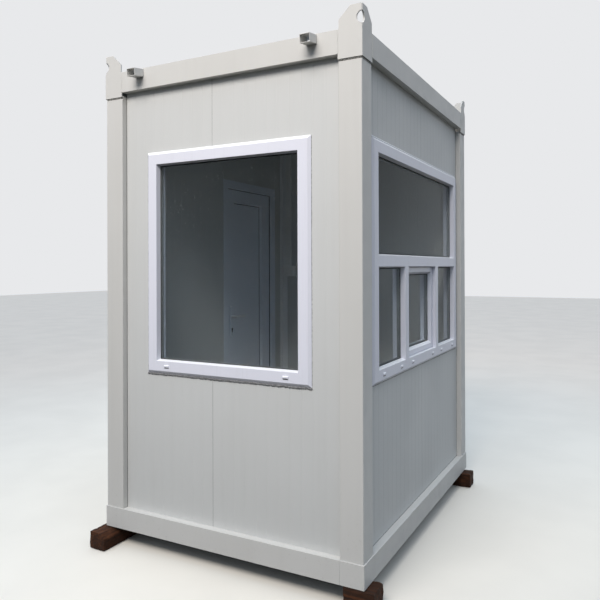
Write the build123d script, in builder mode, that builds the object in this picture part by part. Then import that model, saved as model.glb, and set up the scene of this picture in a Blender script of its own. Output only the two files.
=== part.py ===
from build123d import *
import os
from math import atan2, cos, degrees, radians, sin, sqrt, tan

# Ticket office container: a small steel-framed cabin on timber blocks.
# X runs along the front, Y from front to back, Z up. The origin lies on the
# ground, under the middle of the footprint. All sizes are in millimetres.

os.makedirs("parts", exist_ok=True)

# Overall sizes
WIDTH = 1600.0
DEPTH = 2000.0
FRAME_HEIGHT = 2600.0
BLOCK_HEIGHT = 100.0

# Wall, floor and ceiling panels
WALL_RECESS = 40.0
WALL_THICK = 60.0
FRONT_JOINT = -75.0
SIDE_JOINT = 28.0
JOINT_GROOVE = 1.5
DECK_THICK = 22.0
CEILING_THICK = 40.0
FIT_GAP = 2.0

# Floor frame
FLOOR_BEAM_HEIGHT = 115.0
FLOOR_BOTTOM_FLANGE = 60.0
DECK_LEDGE = 22.0
BEAM_STEEL = 4.0
CORNER_MARGIN = 3.0
CORNER_STEEL = 6.0
EDGE_RADIUS = 4.0
JOIST_WIDTH = 50.0
JOIST_HEIGHT = 80.0
JOIST_STEEL = 3.0
JOIST_COUNT = 3
SHEET_STEEL = 2.0

# Roof frame
ROOF_BEAM_HEIGHT = 115.0
ROOF_TOP_FLANGE = 50.0
CORNER_DROP = 25.0
SHELF_HEIGHT = 64.0
SHELF_WIDTH = 40.0
SHELF_STEEL = 3.0
ROOF_FALL = 20.0
GUTTER_WIDTH = 20.0
RIB_PITCH = 250.0
RIB_HEIGHT = 18.0
RIB_BASE = 70.0
RIB_TOP = 34.0
SHEET_HEM = 15.0

# Corner posts
POST_INSET = 5.0
POST_LIP = 16.0
POST_STEEL = 3.0
POST_BEND = 5.0
SEAM_HEIGHT = 9.0
HEAD_PLATE_INSET = 8.0

# Lifting lugs on the roof corners
LUG_HEIGHT = 103.0
LUG_STEEL = 8.0
LUG_BEND = 12.0
LUG_FLAT = 60.0
LUG_LENGTH = 120.0
LUG_SHOULDER = 45.0
EYE_RADIUS = 29.0
EYE_HEIGHT = 42.0

# White plastic windows
SILL_HEIGHT = 1000.0
WINDOW_HEIGHT = 1230.0
FRONT_WINDOW_WIDTH = 1030.0
TICKET_FRONT_STRIP = 76.0
TICKET_BACK_STRIP = 44.0
WINDOW_DEPTH = 78.0
PROFILE_FACE = 70.0
PROFILE_PROUD = 14.0
PROFILE_EDGE = 2.0
PROFILE_BEVEL = 15.0
FLANGE_LAP = 20.0
REVEAL_DEPTH = 28.0
REVEAL_SLOPE = 7.0
GLASS_THICK = 24.0
GLASS_EDGE = 12.0
BAR_FACE = 58.0
TRANSOM_HEIGHT = 588.0
SASH_LIGHT_WIDTH = 545.0
SASH_GAP = 4.0
SASH_SET_BACK = 20.0
SASH_FACE = 29.0
SASH_BEAD = 14.0
SASH_BEAD_DEPTH = 20.0
SASH_LAP = 10.0
SASH_LAP_THICK = 14.0
CAP_WIDTH = 34.0
CAP_HEIGHT = 14.0
CAP_DEPTH = 5.0
CAP_BEVEL = 3.0
CAP_RISE = 42.0
CAP_INSET = 140.0

# Door in the left wall
DOOR_BACK_STRIP = 105.0
DOOR_WIDTH = 730.0
DOOR_HEIGHT = 2007.0
DOOR_JAMB = 58.0
DOOR_FRAME_DEPTH = 70.0
DOOR_FRAME_PROUD = 8.0
DOOR_LIP = 18.0
DOOR_REBATE = 20.0
THRESHOLD_HEIGHT = 20.0
LEAF_SIDE_GAP = 12.0
LEAF_BACK_GAP = 5.0
LEAF_BOTTOM_GAP = 8.0
LEAF_THICK = 70.0
LEAF_LAP = 8.0
LEAF_LAP_THICK = 18.0
STILE_FACE = 118.0
TOP_RAIL_FACE = 98.0
INFILL_THICK = 24.0
INFILL_EDGE = 12.0
BEAD_SLOPE = 8.0

# Hinges
HINGE_RADIUS = 9.0
HINGE_OUT = 6.0
HINGE_SIDE = 14.0
HINGE_KNUCKLE = 34.0
HINGE_LEAF_KNUCKLE = 40.0
HINGE_PLAY = 0.3
HINGE_PIN = 4.0
HINGE_PLATE = 5.0
HINGE_WING = 49.0
HINGE_BLOCK = 12.0
HINGE_FOOT = 18.0
HINGE_COUNT = 3
HINGE_END = 220.0

# Door handle and lock
HANDLE_HEIGHT = 1225.0
HANDLE_INSET = 72.0
LOCK_DROP = 92.0
PLATE_WIDTH = 32.0
PLATE_LENGTH = 230.0
PLATE_THICK = 9.0
PLATE_DROP = 34.0
PLATE_EDGE = 3.0
NECK_REACH = 50.0
LEVER_RADIUS = 9.0
LEVER_LENGTH = 115.0
LEVER_END = 2.0
LEVER_PLAY = 0.4
SPINDLE_SIDE = 8.0
SPINDLE_PLAY = 1.2
CYLINDER_RADIUS = 8.5
CYLINDER_WEB = 10.0
CYLINDER_DROP = 24.5
CYLINDER_PROUD = 3.0

# Rain spouts
SPOUT_INSET = 136.0
SPOUT_WIDTH = 55.0
SPOUT_HEIGHT = 42.0
SPOUT_STEEL = 3.0
SPOUT_OUT = 74.0
SPOUT_IN = 6.0
SPOUT_FALL = 9.0
SPOUT_DROP = 27.0
SPOUT_PLAY = 0.3

# Interior trim
TRIM_LEG = 45.0
TRIM_THICK = 2.0
BOX_WIDTH = 80.0
BOX_HEIGHT = 86.0
BOX_DEPTH = 42.0
BOX_BOTTOM = 1512.0
BOX_EDGE = 4.0
ROCKER_WIDTH = 34.0
ROCKER_HEIGHT = 50.0
ROCKER_DEPTH = 4.0
DUCT_WIDTH = 40.0
DUCT_DEPTH = 20.0

# Timber blocks: size along X and Y, how far each sticks out past the side and
# past the front or back of the frame, and whether one edge is waney
BLOCKS = {
    "front_left": (115.0, 400.0, 31.0, 100.0, True),
    "back_left": (120.0, 380.0, 62.0, 100.0, False),
    "front_right": (160.0, 127.0, 50.0, 5.0, False),
    "back_right": (222.0, 115.0, 62.0, -35.0, False),
}
WANE = 32.0

# Inside handle of the ticket window's opening sash
GRIP_PLATE_WIDTH = 28.0
GRIP_PLATE_HEIGHT = 66.0
GRIP_PLATE_THICK = 10.0
GRIP_NECK_RADIUS = 8.0
GRIP_NECK_LENGTH = 24.0
GRIP_WIDTH = 20.0
GRIP_LENGTH = 118.0
GRIP_THICK = 12.0
GRIP_EDGE = 3.0

# Levels and steps worked out from the driving sizes
floor_bottom = BLOCK_HEIGHT
floor_top = floor_bottom + FLOOR_BEAM_HEIGHT
deck_top = floor_top + DECK_THICK
roof_top = floor_bottom + FRAME_HEIGHT
roof_bottom = roof_top - ROOF_BEAM_HEIGHT
roof_corner_bottom = roof_bottom - CORNER_DROP
ceiling_bottom = roof_bottom - CEILING_THICK
wall_height = roof_bottom - floor_top
wall_inset = WALL_RECESS + WALL_THICK
inside_x = WIDTH / 2 - wall_inset
inside_y = DEPTH / 2 - wall_inset
beam_flange = wall_inset + DECK_LEDGE
corner_size = beam_flange + CORNER_MARGIN
post_flange = corner_size - POST_INSET
post_return = wall_inset - POST_INSET
bay_x = WIDTH / 2 - corner_size
bay_y = DEPTH / 2 - corner_size

# The outer faces of the frame: X to the right as seen from outside, Y up, Z
# outwards
FACES = {
    "front": Plane.front.offset(DEPTH / 2),
    "right": Plane.right.offset(WIDTH / 2),
    "back": Plane.back.offset(DEPTH / 2),
    "left": Plane.left.offset(WIDTH / 2),
}

# Half of the beam that runs along each face
BAYS = {"front": bay_x, "right": bay_y, "back": bay_x, "left": bay_y}

# The two faces that meet at each corner, the first to the right of the corner
CORNERS = {
    "front_left": ("front", "left"),
    "front_right": ("right", "front"),
    "back_right": ("back", "right"),
    "back_left": ("left", "back"),
}

# Outer faces of the wall panels
front_plane = FACES["front"].offset(-WALL_RECESS)
back_plane = FACES["back"].offset(-WALL_RECESS)
right_plane = FACES["right"].offset(-WALL_RECESS)
left_plane = FACES["left"].offset(-WALL_RECESS)
BOTTOM_LEFT = (Align.MIN, Align.MIN)
BOTTOM_MIDDLE = (Align.CENTER, Align.MIN)


def save(piece, name):
    """Label a finished piece and write its file."""
    piece.part.label = name
    export_step(piece.part, "parts/" + name + ".step")


def corner_plane(name, inset, height):
    """Level plane at an outer corner, X and Y pointing into the footprint."""
    along, across = (FACES[side].offset(-inset) for side in CORNERS[name])
    return Plane(origin=along.origin + across.origin + Vector(0, 0, height), x_dir=along.x_dir)


def section_plane(side, height):
    """Plane across a beam at its middle: X inwards from the outer face, Y up."""
    face = FACES[side]
    return Plane(origin=face.origin + Vector(0, 0, height), x_dir=-face.z_dir, z_dir=face.x_dir)


# Timber blocks: sawn offcuts that lie on the ground
for corner, (size_x, size_y, reach_x, reach_y, waney) in BLOCKS.items():
    outer_corner = corner_plane(corner, 0, 0).origin
    outwards_x = 1 if "right" in corner else -1
    outwards_y = 1 if "back" in corner else -1
    block_x = outer_corner.X + outwards_x * (reach_x - size_x / 2)
    block_y = outer_corner.Y + outwards_y * (reach_y - size_y / 2)
    with BuildPart() as timber_block:
        with BuildSketch(Plane(origin=(block_x, block_y, 0))):
            Rectangle(size_x, size_y)
        extrude(amount=BLOCK_HEIGHT)
        if waney:
            wane_edge = timber_block.edges().filter_by(Axis.Y).group_by(Axis.Z)[-1].sort_by(Axis.X)[-1]
            chamfer(wane_edge, length=WANE)
    save(timber_block, "timber_block_" + corner)

# Floor corners: welded boxes, open towards the inside
for corner in CORNERS:
    with BuildPart() as floor_corner:
        with BuildSketch(corner_plane(corner, 0, floor_bottom)):
            Rectangle(corner_size, corner_size, align=BOTTOM_LEFT)
        extrude(amount=FLOOR_BEAM_HEIGHT)
        corner_point = corner_plane(corner, 0, floor_top).origin
        fillet(floor_corner.edges().filter_by(Axis.Z).sort_by_distance(corner_point)[0], radius=EDGE_RADIUS)
        with BuildSketch(corner_plane(corner, CORNER_STEEL, floor_bottom + CORNER_STEEL)):
            Rectangle(corner_size, corner_size, align=BOTTOM_LEFT)
        extrude(amount=FLOOR_BEAM_HEIGHT - 2 * CORNER_STEEL, mode=Mode.SUBTRACT)
    save(floor_corner, "floor_corner_" + corner)

# Floor beams: channels whose wide upper flange carries the walls and the deck
for side, half_length in BAYS.items():
    with BuildPart() as floor_beam:
        with BuildSketch(section_plane(side, floor_bottom)):
            with BuildLine():
                Polyline(
                    (beam_flange, FLOOR_BEAM_HEIGHT),
                    (0, FLOOR_BEAM_HEIGHT),
                    (0, 0),
                    (FLOOR_BOTTOM_FLANGE, 0),
                )
                offset(amount=BEAM_STEEL, side=Side.LEFT)
            make_face()
        extrude(amount=half_length, both=True)
    save(floor_beam, "floor_beam_" + side)

# Floor joists: channels between the webs, coped under the side flanges
joist_pitch = DEPTH / (JOIST_COUNT + 1)
joist_ends = WIDTH / 2 - BEAM_STEEL
with BuildPart() as floor_joists:
    with BuildSketch(Plane.YZ.offset(-joist_ends)):
        with Locations([((step + 1) * joist_pitch - DEPTH / 2, floor_top) for step in range(JOIST_COUNT)]):
            Rectangle(JOIST_WIDTH, JOIST_HEIGHT, align=(Align.CENTER, Align.MAX))
    extrude(amount=2 * joist_ends)
    with BuildSketch(Plane.YZ.offset(-joist_ends)):
        with Locations([((step + 1) * joist_pitch - DEPTH / 2, floor_top - JOIST_STEEL) for step in range(JOIST_COUNT)]):
            with Locations((JOIST_STEEL, 0)):
                Rectangle(JOIST_WIDTH, JOIST_HEIGHT - 2 * JOIST_STEEL, align=(Align.CENTER, Align.MAX))
    extrude(amount=2 * joist_ends, mode=Mode.SUBTRACT)
    with BuildSketch(Plane.XY.offset(floor_top - BEAM_STEEL)):
        Rectangle(WIDTH, DEPTH)
        Rectangle(WIDTH - 2 * beam_flange, DEPTH, mode=Mode.SUBTRACT)
    extrude(amount=BEAM_STEEL, mode=Mode.SUBTRACT)
save(floor_joists, "floor_joists")

# Floor deck: plywood board between the walls, on the beams' flanges
with BuildPart() as floor_deck:
    with BuildSketch(Plane.XY.offset(floor_top)):
        Rectangle(2 * (inside_x - FIT_GAP), 2 * (inside_y - FIT_GAP))
    extrude(amount=DECK_THICK)
save(floor_deck, "floor_deck")

# Underside sheet: lies on the lower flanges and closes the floor from below
sheet_x = WIDTH / 2 - BEAM_STEEL - FIT_GAP
sheet_y = DEPTH / 2 - BEAM_STEEL - FIT_GAP
notch = corner_size + FIT_GAP
with BuildPart() as underside_sheet:
    with BuildSketch(Plane.XY.offset(floor_bottom + BEAM_STEEL)):
        Rectangle(2 * sheet_x, 2 * sheet_y)
        with GridLocations(WIDTH, DEPTH, 2, 2):
            Rectangle(2 * notch, 2 * notch, mode=Mode.SUBTRACT)
    extrude(amount=SHEET_STEEL)
save(underside_sheet, "floor_underside_sheet")

# Corner posts: cold-formed open sections, their lips level with the wall's
# inner face
post_height = roof_corner_bottom - SEAM_HEIGHT - floor_top
for corner in CORNERS:
    with BuildPart() as corner_post:
        with BuildSketch(corner_plane(corner, POST_INSET, floor_top)):
            with BuildLine():
                FilletPolyline(
                    (post_flange - POST_LIP, post_return),
                    (post_flange, post_return),
                    (post_flange, 0),
                    (0, 0),
                    (0, post_flange),
                    (post_return, post_flange),
                    (post_return, post_flange - POST_LIP),
                    radius=POST_BEND,
                )
                offset(amount=POST_STEEL, side=Side.RIGHT)
            make_face()
        extrude(amount=post_height)
    save(corner_post, "corner_post_" + corner)

# Roof corners: welded boxes with a head plate below and a folded lifting lug
# on top
for corner in CORNERS:
    with BuildPart() as roof_corner:
        with BuildSketch(corner_plane(corner, 0, roof_corner_bottom)):
            Rectangle(corner_size, corner_size, align=BOTTOM_LEFT)
        extrude(amount=CORNER_DROP + ROOF_BEAM_HEIGHT)
        corner_point = corner_plane(corner, 0, roof_top).origin
        fillet(roof_corner.edges().filter_by(Axis.Z).sort_by_distance(corner_point)[0], radius=EDGE_RADIUS)
        with BuildSketch(corner_plane(corner, CORNER_STEEL, roof_corner_bottom + CORNER_STEEL)):
            Rectangle(corner_size, corner_size, align=BOTTOM_LEFT)
        extrude(amount=CORNER_DROP + ROOF_BEAM_HEIGHT - 2 * CORNER_STEEL, mode=Mode.SUBTRACT)
        plate_inset = POST_INSET + HEAD_PLATE_INSET
        with BuildSketch(corner_plane(corner, plate_inset, roof_corner_bottom - SEAM_HEIGHT)):
            Rectangle(corner_size - plate_inset, corner_size - plate_inset, align=BOTTOM_LEFT)
        extrude(amount=SEAM_HEIGHT)
        with BuildSketch(corner_plane(corner, wall_inset, roof_corner_bottom - SEAM_HEIGHT)):
            Rectangle(corner_size, corner_size, align=BOTTOM_LEFT)
        extrude(amount=SEAM_HEIGHT + CORNER_DROP, mode=Mode.SUBTRACT)
        with BuildSketch(corner_plane(corner, 0, roof_top)):
            with BuildLine():
                FilletPolyline((LUG_LENGTH, 0), (0, 0), (0, LUG_LENGTH), radius=LUG_BEND)
                offset(amount=LUG_STEEL, side=Side.RIGHT)
            make_face()
        extrude(amount=LUG_HEIGHT)
        for side, inwards in zip(CORNERS[corner], (1, -1)):
            lug_plane = Plane(origin=corner_point, x_dir=FACES[side].x_dir, z_dir=FACES[side].z_dir)
            with BuildSketch(lug_plane):
                with BuildLine():
                    Polyline(
                        (inwards * LUG_FLAT, LUG_HEIGHT),
                        (inwards * LUG_LENGTH, LUG_SHOULDER),
                        (inwards * LUG_LENGTH, LUG_HEIGHT),
                        close=True,
                    )
                make_face()
                with Locations((0, EYE_HEIGHT)):
                    Circle(EYE_RADIUS)
            extrude(amount=-LUG_BEND, mode=Mode.SUBTRACT)
    save(roof_corner, "roof_corner_" + corner)

# Rain spout outline: the plane leans down and outwards from the front beam
spout_height = roof_top - SPOUT_DROP
spout_out = (0, -cos(radians(SPOUT_FALL)), -sin(radians(SPOUT_FALL)))
spout_planes = []
for spout_x in (SPOUT_INSET - bay_x, bay_x - SPOUT_INSET):
    spout_planes.append(Plane(origin=(spout_x, -DEPTH / 2, spout_height), x_dir=(1, 0, 0), z_dir=spout_out))

# Roof beams: channels open to the inside, the front and back ones with a
# shelf for the roof sheet. The holes for the spouts are cut square to the web
# and leave room for the spouts' fall.
shelf_heights = {"front": SHELF_HEIGHT, "back": SHELF_HEIGHT + ROOF_FALL}
fall_angle = radians(SPOUT_FALL)
spout_hole_height = (SPOUT_HEIGHT + 2 * SPOUT_PLAY) / cos(fall_angle) + BEAM_STEEL * tan(fall_angle)
spout_hole_middle = spout_height + BEAM_STEEL / 2 * tan(fall_angle)
for side, half_length in BAYS.items():
    with BuildPart() as roof_beam:
        with BuildSketch(section_plane(side, roof_bottom)):
            with BuildLine():
                Polyline((beam_flange, 0), (0, 0), (0, ROOF_BEAM_HEIGHT), (ROOF_TOP_FLANGE, ROOF_BEAM_HEIGHT))
                offset(amount=BEAM_STEEL, side=Side.RIGHT)
            make_face()
            if side in shelf_heights:
                with Locations((0, shelf_heights[side])):
                    Rectangle(SHELF_WIDTH, SHELF_STEEL, align=(Align.MIN, Align.MAX))
        extrude(amount=half_length, both=True)
        if side == "front":
            with BuildSketch(FACES["front"]):
                with Locations([(plane.origin.X, spout_hole_middle) for plane in spout_planes]):
                    Rectangle(SPOUT_WIDTH + 2 * SPOUT_PLAY, spout_hole_height)
            extrude(amount=-BEAM_STEEL, mode=Mode.SUBTRACT)
    save(roof_beam, "roof_beam_" + side)

# Rain spouts: square tubes through the front beam
with BuildPart() as rain_spouts:
    with BuildSketch(*[plane.offset(-SPOUT_IN) for plane in spout_planes]):
        Rectangle(SPOUT_WIDTH, SPOUT_HEIGHT)
        Rectangle(SPOUT_WIDTH - 2 * SPOUT_STEEL, SPOUT_HEIGHT - 2 * SPOUT_STEEL, mode=Mode.SUBTRACT)
    extrude(amount=SPOUT_IN + SPOUT_OUT)
save(rain_spouts, "rain_spouts")

# Roof sheet: ribbed from front to back, it falls towards a gutter behind the
# front beam's web and the spouts
roof_front = DEPTH / 2 - BEAM_STEEL - GUTTER_WIDTH
roof_slope = atan2(ROOF_FALL, roof_front + DEPTH / 2 - SHELF_WIDTH)
rib_count = int(2 * sheet_x / RIB_PITCH)
rib_centres = [(step - (rib_count - 1) / 2) * RIB_PITCH for step in range(rib_count)]
rib_points = []
for rib_centre in rib_centres:
    rib_points.append((rib_centre - RIB_BASE / 2, 0))
    rib_points.append((rib_centre - RIB_TOP / 2, RIB_HEIGHT))
    rib_points.append((rib_centre + RIB_TOP / 2, RIB_HEIGHT))
    rib_points.append((rib_centre + RIB_BASE / 2, 0))
with BuildPart() as roof_sheet:
    sheet_front = Plane(
        origin=(0, -roof_front, roof_bottom + SHELF_HEIGHT),
        x_dir=(-1, 0, 0),
        z_dir=(0, cos(roof_slope), sin(roof_slope)),
    )
    with BuildSketch(sheet_front):
        with BuildLine():
            Polyline((-sheet_x, SHEET_HEM), (-sheet_x, 0), *rib_points, (sheet_x, 0), (sheet_x, SHEET_HEM))
            offset(amount=SHEET_STEEL, side=Side.LEFT)
        make_face()
    extrude(amount=roof_front + sheet_y)
    with BuildSketch(Plane.XY.offset(roof_bottom)):
        with GridLocations(WIDTH, DEPTH, 2, 2):
            Rectangle(2 * notch, 2 * notch)
    extrude(amount=ROOF_BEAM_HEIGHT, mode=Mode.SUBTRACT)
save(roof_sheet, "roof_sheet")

# Ceiling panel: between the walls, under the roof beams' lower flanges
with BuildPart() as ceiling_panel:
    with BuildSketch(Plane.XY.offset(ceiling_bottom)):
        Rectangle(2 * inside_x, 2 * inside_y)
    extrude(amount=CEILING_THICK)
save(ceiling_panel, "ceiling_panel")

# Window openings in the walls, smaller than the frames by the lap of their
# flanges
ticket_window_width = 2 * bay_y - TICKET_FRONT_STRIP - TICKET_BACK_STRIP
ticket_shift = (TICKET_FRONT_STRIP - TICKET_BACK_STRIP) / 2
opening_height = WINDOW_HEIGHT - 2 * FLANGE_LAP
front_opening = (FRONT_WINDOW_WIDTH - 2 * FLANGE_LAP, opening_height)
ticket_opening = (ticket_window_width - 2 * FLANGE_LAP, opening_height)

# Front, back and right walls: two panels each, the joint between them
# bevelled on the outside, with the openings of the windows. Spans and joints
# are measured along the walls' planes.
walls = {
    "front": (front_plane, FRONT_JOINT, ("left", "right"), 0, front_opening),
    "right": (right_plane, SIDE_JOINT, ("front", "back"), ticket_shift, ticket_opening),
    "back": (back_plane, -FRONT_JOINT, ("right", "left"), 0, None),
}
for wall, (wall_plane, joint, names, shift, opening) in walls.items():
    for name, (low, high) in zip(names, ((-BAYS[wall], joint), (joint, BAYS[wall]))):
        with BuildPart() as wall_panel:
            with BuildSketch(wall_plane):
                with Locations(((low + high) / 2, floor_top)):
                    Rectangle(high - low, wall_height, align=BOTTOM_MIDDLE)
            extrude(amount=-WALL_THICK)
            joint_point = wall_plane.from_local_coords((joint, floor_top + wall_height / 2, 0))
            chamfer(wall_panel.edges().filter_by(Axis.Z).sort_by_distance(joint_point)[0], length=JOINT_GROOVE)
            if opening:
                with BuildSketch(wall_plane):
                    with Locations((shift, SILL_HEIGHT + FLANGE_LAP)):
                        Rectangle(*opening, align=BOTTOM_MIDDLE)
                extrude(amount=-WALL_THICK, mode=Mode.SUBTRACT)
        save(wall_panel, wall + "_wall_" + name)

# Left wall: panels in front of, behind and over the doorway
door_back = bay_y - DOOR_BACK_STRIP
door_front = door_back - DOOR_WIDTH
door_y = (door_front + door_back) / 2
door_top = floor_top + DOOR_HEIGHT
left_spans = {
    "left_wall_front": (-bay_y, door_front, floor_top),
    "left_wall_back": (door_back, bay_y, floor_top),
    "left_wall_over_door": (door_front, door_back, door_top),
}
for name, (low, high, bottom) in left_spans.items():
    with BuildPart() as left_wall:
        with BuildSketch(left_plane):
            with Locations((-(low + high) / 2, bottom)):
                Rectangle(high - low, roof_bottom - bottom, align=BOTTOM_MIDDLE)
        extrude(amount=-WALL_THICK)
    save(left_wall, name)

# Window lights: centre X, bottom, width and height of each, between the
# arrises of the profiles
light_bottom = SILL_HEIGHT + PROFILE_FACE
light_height = WINDOW_HEIGHT - 2 * PROFILE_FACE
front_lights = [(0, light_bottom, FRONT_WINDOW_WIDTH - 2 * PROFILE_FACE, light_height)]
ticket_inner_width = ticket_window_width - 2 * PROFILE_FACE
side_light_width = (ticket_inner_width - SASH_LIGHT_WIDTH - 2 * BAR_FACE) / 2
side_light_shift = (SASH_LIGHT_WIDTH + side_light_width) / 2 + BAR_FACE
lower_height = TRANSOM_HEIGHT - PROFILE_FACE
upper_bottom = SILL_HEIGHT + TRANSOM_HEIGHT + BAR_FACE
upper_height = SILL_HEIGHT + WINDOW_HEIGHT - PROFILE_FACE - upper_bottom
ticket_lights = [
    (ticket_shift, upper_bottom, ticket_inner_width, upper_height),
    (ticket_shift - side_light_shift, light_bottom, side_light_width, lower_height),
    (ticket_shift + side_light_shift, light_bottom, side_light_width, lower_height),
]
reveal_taper = degrees(atan2(REVEAL_SLOPE, REVEAL_DEPTH))
glass_growth = 2 * (GLASS_EDGE - REVEAL_SLOPE)

# Window frames: bevelled flange on the wall, body in the opening, a glazing
# groove and a sloped bead round each fixed light
window_data = {
    "front_window": (front_plane, 0, FRONT_WINDOW_WIDTH, front_opening, front_lights),
    "ticket_window": (right_plane, ticket_shift, ticket_window_width, ticket_opening, ticket_lights),
}
for name, (wall_plane, shift, outer_width, opening, lights) in window_data.items():
    face_plane = wall_plane.offset(PROFILE_PROUD)
    with BuildPart() as window_frame:
        with BuildSketch(wall_plane):
            with Locations((shift, SILL_HEIGHT)):
                Rectangle(outer_width, WINDOW_HEIGHT, align=BOTTOM_MIDDLE)
        extrude(amount=PROFILE_PROUD)
        flange_face = window_frame.faces().filter_by(wall_plane).sort_by_distance(face_plane.origin)[0]
        chamfer(flange_face.edges(), length=PROFILE_BEVEL, length2=PROFILE_PROUD - PROFILE_EDGE, reference=flange_face)
        with BuildSketch(wall_plane):
            with Locations((shift, SILL_HEIGHT + FLANGE_LAP + FIT_GAP)):
                Rectangle(opening[0] - 2 * FIT_GAP, opening[1] - 2 * FIT_GAP, align=BOTTOM_MIDDLE)
        extrude(amount=PROFILE_PROUD - WINDOW_DEPTH)
        for centre, bottom, width, height in lights:
            with BuildSketch(face_plane):
                with Locations((centre, bottom)):
                    Rectangle(width, height, align=BOTTOM_MIDDLE)
            extrude(amount=-REVEAL_DEPTH, taper=reveal_taper, mode=Mode.SUBTRACT)
            with BuildSketch(face_plane.offset(-REVEAL_DEPTH)):
                with Locations((centre, bottom + height / 2)):
                    Rectangle(width + glass_growth, height + glass_growth)
            extrude(amount=-GLASS_THICK, mode=Mode.SUBTRACT)
            with BuildSketch(face_plane.offset(-WINDOW_DEPTH)):
                with Locations((centre, bottom + height / 2)):
                    Rectangle(width, height)
            extrude(amount=WINDOW_DEPTH - REVEAL_DEPTH - GLASS_THICK, taper=reveal_taper, mode=Mode.SUBTRACT)
        if name == "ticket_window":
            with BuildSketch(face_plane):
                with Locations((shift, light_bottom)):
                    Rectangle(SASH_LIGHT_WIDTH, lower_height, align=BOTTOM_MIDDLE)
            extrude(amount=-WINDOW_DEPTH, mode=Mode.SUBTRACT)
    save(window_frame, name + "_frame")
    with BuildPart() as window_glass:
        for centre, bottom, width, height in lights:
            with BuildSketch(face_plane.offset(-REVEAL_DEPTH)):
                with Locations((centre, bottom + height / 2)):
                    Rectangle(width + glass_growth, height + glass_growth)
            extrude(amount=-GLASS_THICK)
    save(window_glass, name + "_glass")

# Opening sash in the ticket window: it closes from the inside and laps over
# the frame there
sash_width = SASH_LIGHT_WIDTH - 2 * SASH_GAP
sash_height = lower_height - 2 * SASH_GAP
sash_middle = light_bottom + lower_height / 2
sash_depth = WINDOW_DEPTH - SASH_SET_BACK
sash_face_plane = right_plane.offset(PROFILE_PROUD - SASH_SET_BACK)
sash_lap_plane = right_plane.offset(PROFILE_PROUD - WINDOW_DEPTH)
sash_taper = degrees(atan2(SASH_BEAD, SASH_BEAD_DEPTH))
sash_light = (sash_width - 2 * SASH_FACE, sash_height - 2 * SASH_FACE)
sash_glass = (sash_light[0] - 2 * SASH_BEAD + 2 * GLASS_EDGE, sash_light[1] - 2 * SASH_BEAD + 2 * GLASS_EDGE)
sash_back_depth = sash_depth + SASH_LAP_THICK - SASH_BEAD_DEPTH - GLASS_THICK
with BuildPart() as ticket_sash:
    with BuildSketch(sash_face_plane):
        with Locations((ticket_shift, sash_middle)):
            Rectangle(sash_width, sash_height)
    extrude(amount=-sash_depth)
    with BuildSketch(sash_lap_plane):
        with Locations((ticket_shift, sash_middle)):
            Rectangle(SASH_LIGHT_WIDTH + 2 * SASH_LAP, lower_height + 2 * SASH_LAP)
    extrude(amount=-SASH_LAP_THICK)
    with BuildSketch(sash_face_plane):
        with Locations((ticket_shift, sash_middle)):
            Rectangle(*sash_light)
    extrude(amount=-SASH_BEAD_DEPTH, taper=sash_taper, mode=Mode.SUBTRACT)
    with BuildSketch(sash_face_plane.offset(-SASH_BEAD_DEPTH)):
        with Locations((ticket_shift, sash_middle)):
            Rectangle(*sash_glass)
    extrude(amount=-GLASS_THICK, mode=Mode.SUBTRACT)
    with BuildSketch(sash_lap_plane.offset(-SASH_LAP_THICK)):
        with Locations((ticket_shift, sash_middle)):
            Rectangle(sash_light[0] - 2 * SASH_BEAD, sash_light[1] - 2 * SASH_BEAD)
    extrude(amount=sash_back_depth, mode=Mode.SUBTRACT)
save(ticket_sash, "ticket_window_sash")

with BuildPart() as ticket_sash_glass:
    with BuildSketch(sash_face_plane.offset(-SASH_BEAD_DEPTH)):
        with Locations((ticket_shift, sash_middle)):
            Rectangle(*sash_glass)
    extrude(amount=-GLASS_THICK)
save(ticket_sash_glass, "ticket_sash_glass")

# Inside handle of the sash: plate on the upper rail, neck and grip
grip_plane = sash_lap_plane.offset(-SASH_LAP_THICK)
grip_middle = (ticket_shift, sash_middle + sash_light[1] / 2 + SASH_FACE / 2)
grip_start = sash_middle + sash_light[1] / 2 + SASH_FACE / 2
with BuildPart() as sash_handle:
    with BuildSketch(grip_plane):
        with Locations(grip_middle):
            RectangleRounded(GRIP_PLATE_HEIGHT, GRIP_PLATE_WIDTH, GRIP_PLATE_WIDTH / 2 - GRIP_EDGE)
    extrude(amount=-GRIP_PLATE_THICK)
    with BuildSketch(grip_plane.offset(-GRIP_PLATE_THICK)):
        with Locations(grip_middle):
            Circle(GRIP_NECK_RADIUS)
    extrude(amount=-GRIP_NECK_LENGTH)
    with BuildSketch(grip_plane.offset(-GRIP_PLATE_THICK - GRIP_NECK_LENGTH)):
        with Locations((ticket_shift - GRIP_WIDTH / 2, grip_start)):
            RectangleRounded(GRIP_LENGTH, GRIP_WIDTH, GRIP_WIDTH / 2 - GRIP_EDGE, align=(Align.MIN, Align.CENTER))
    extrude(amount=-GRIP_THICK)
    chamfer(sash_handle.faces().sort_by(Axis.X)[0].edges(), length=GRIP_EDGE)
save(sash_handle, "ticket_sash_handle")

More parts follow.
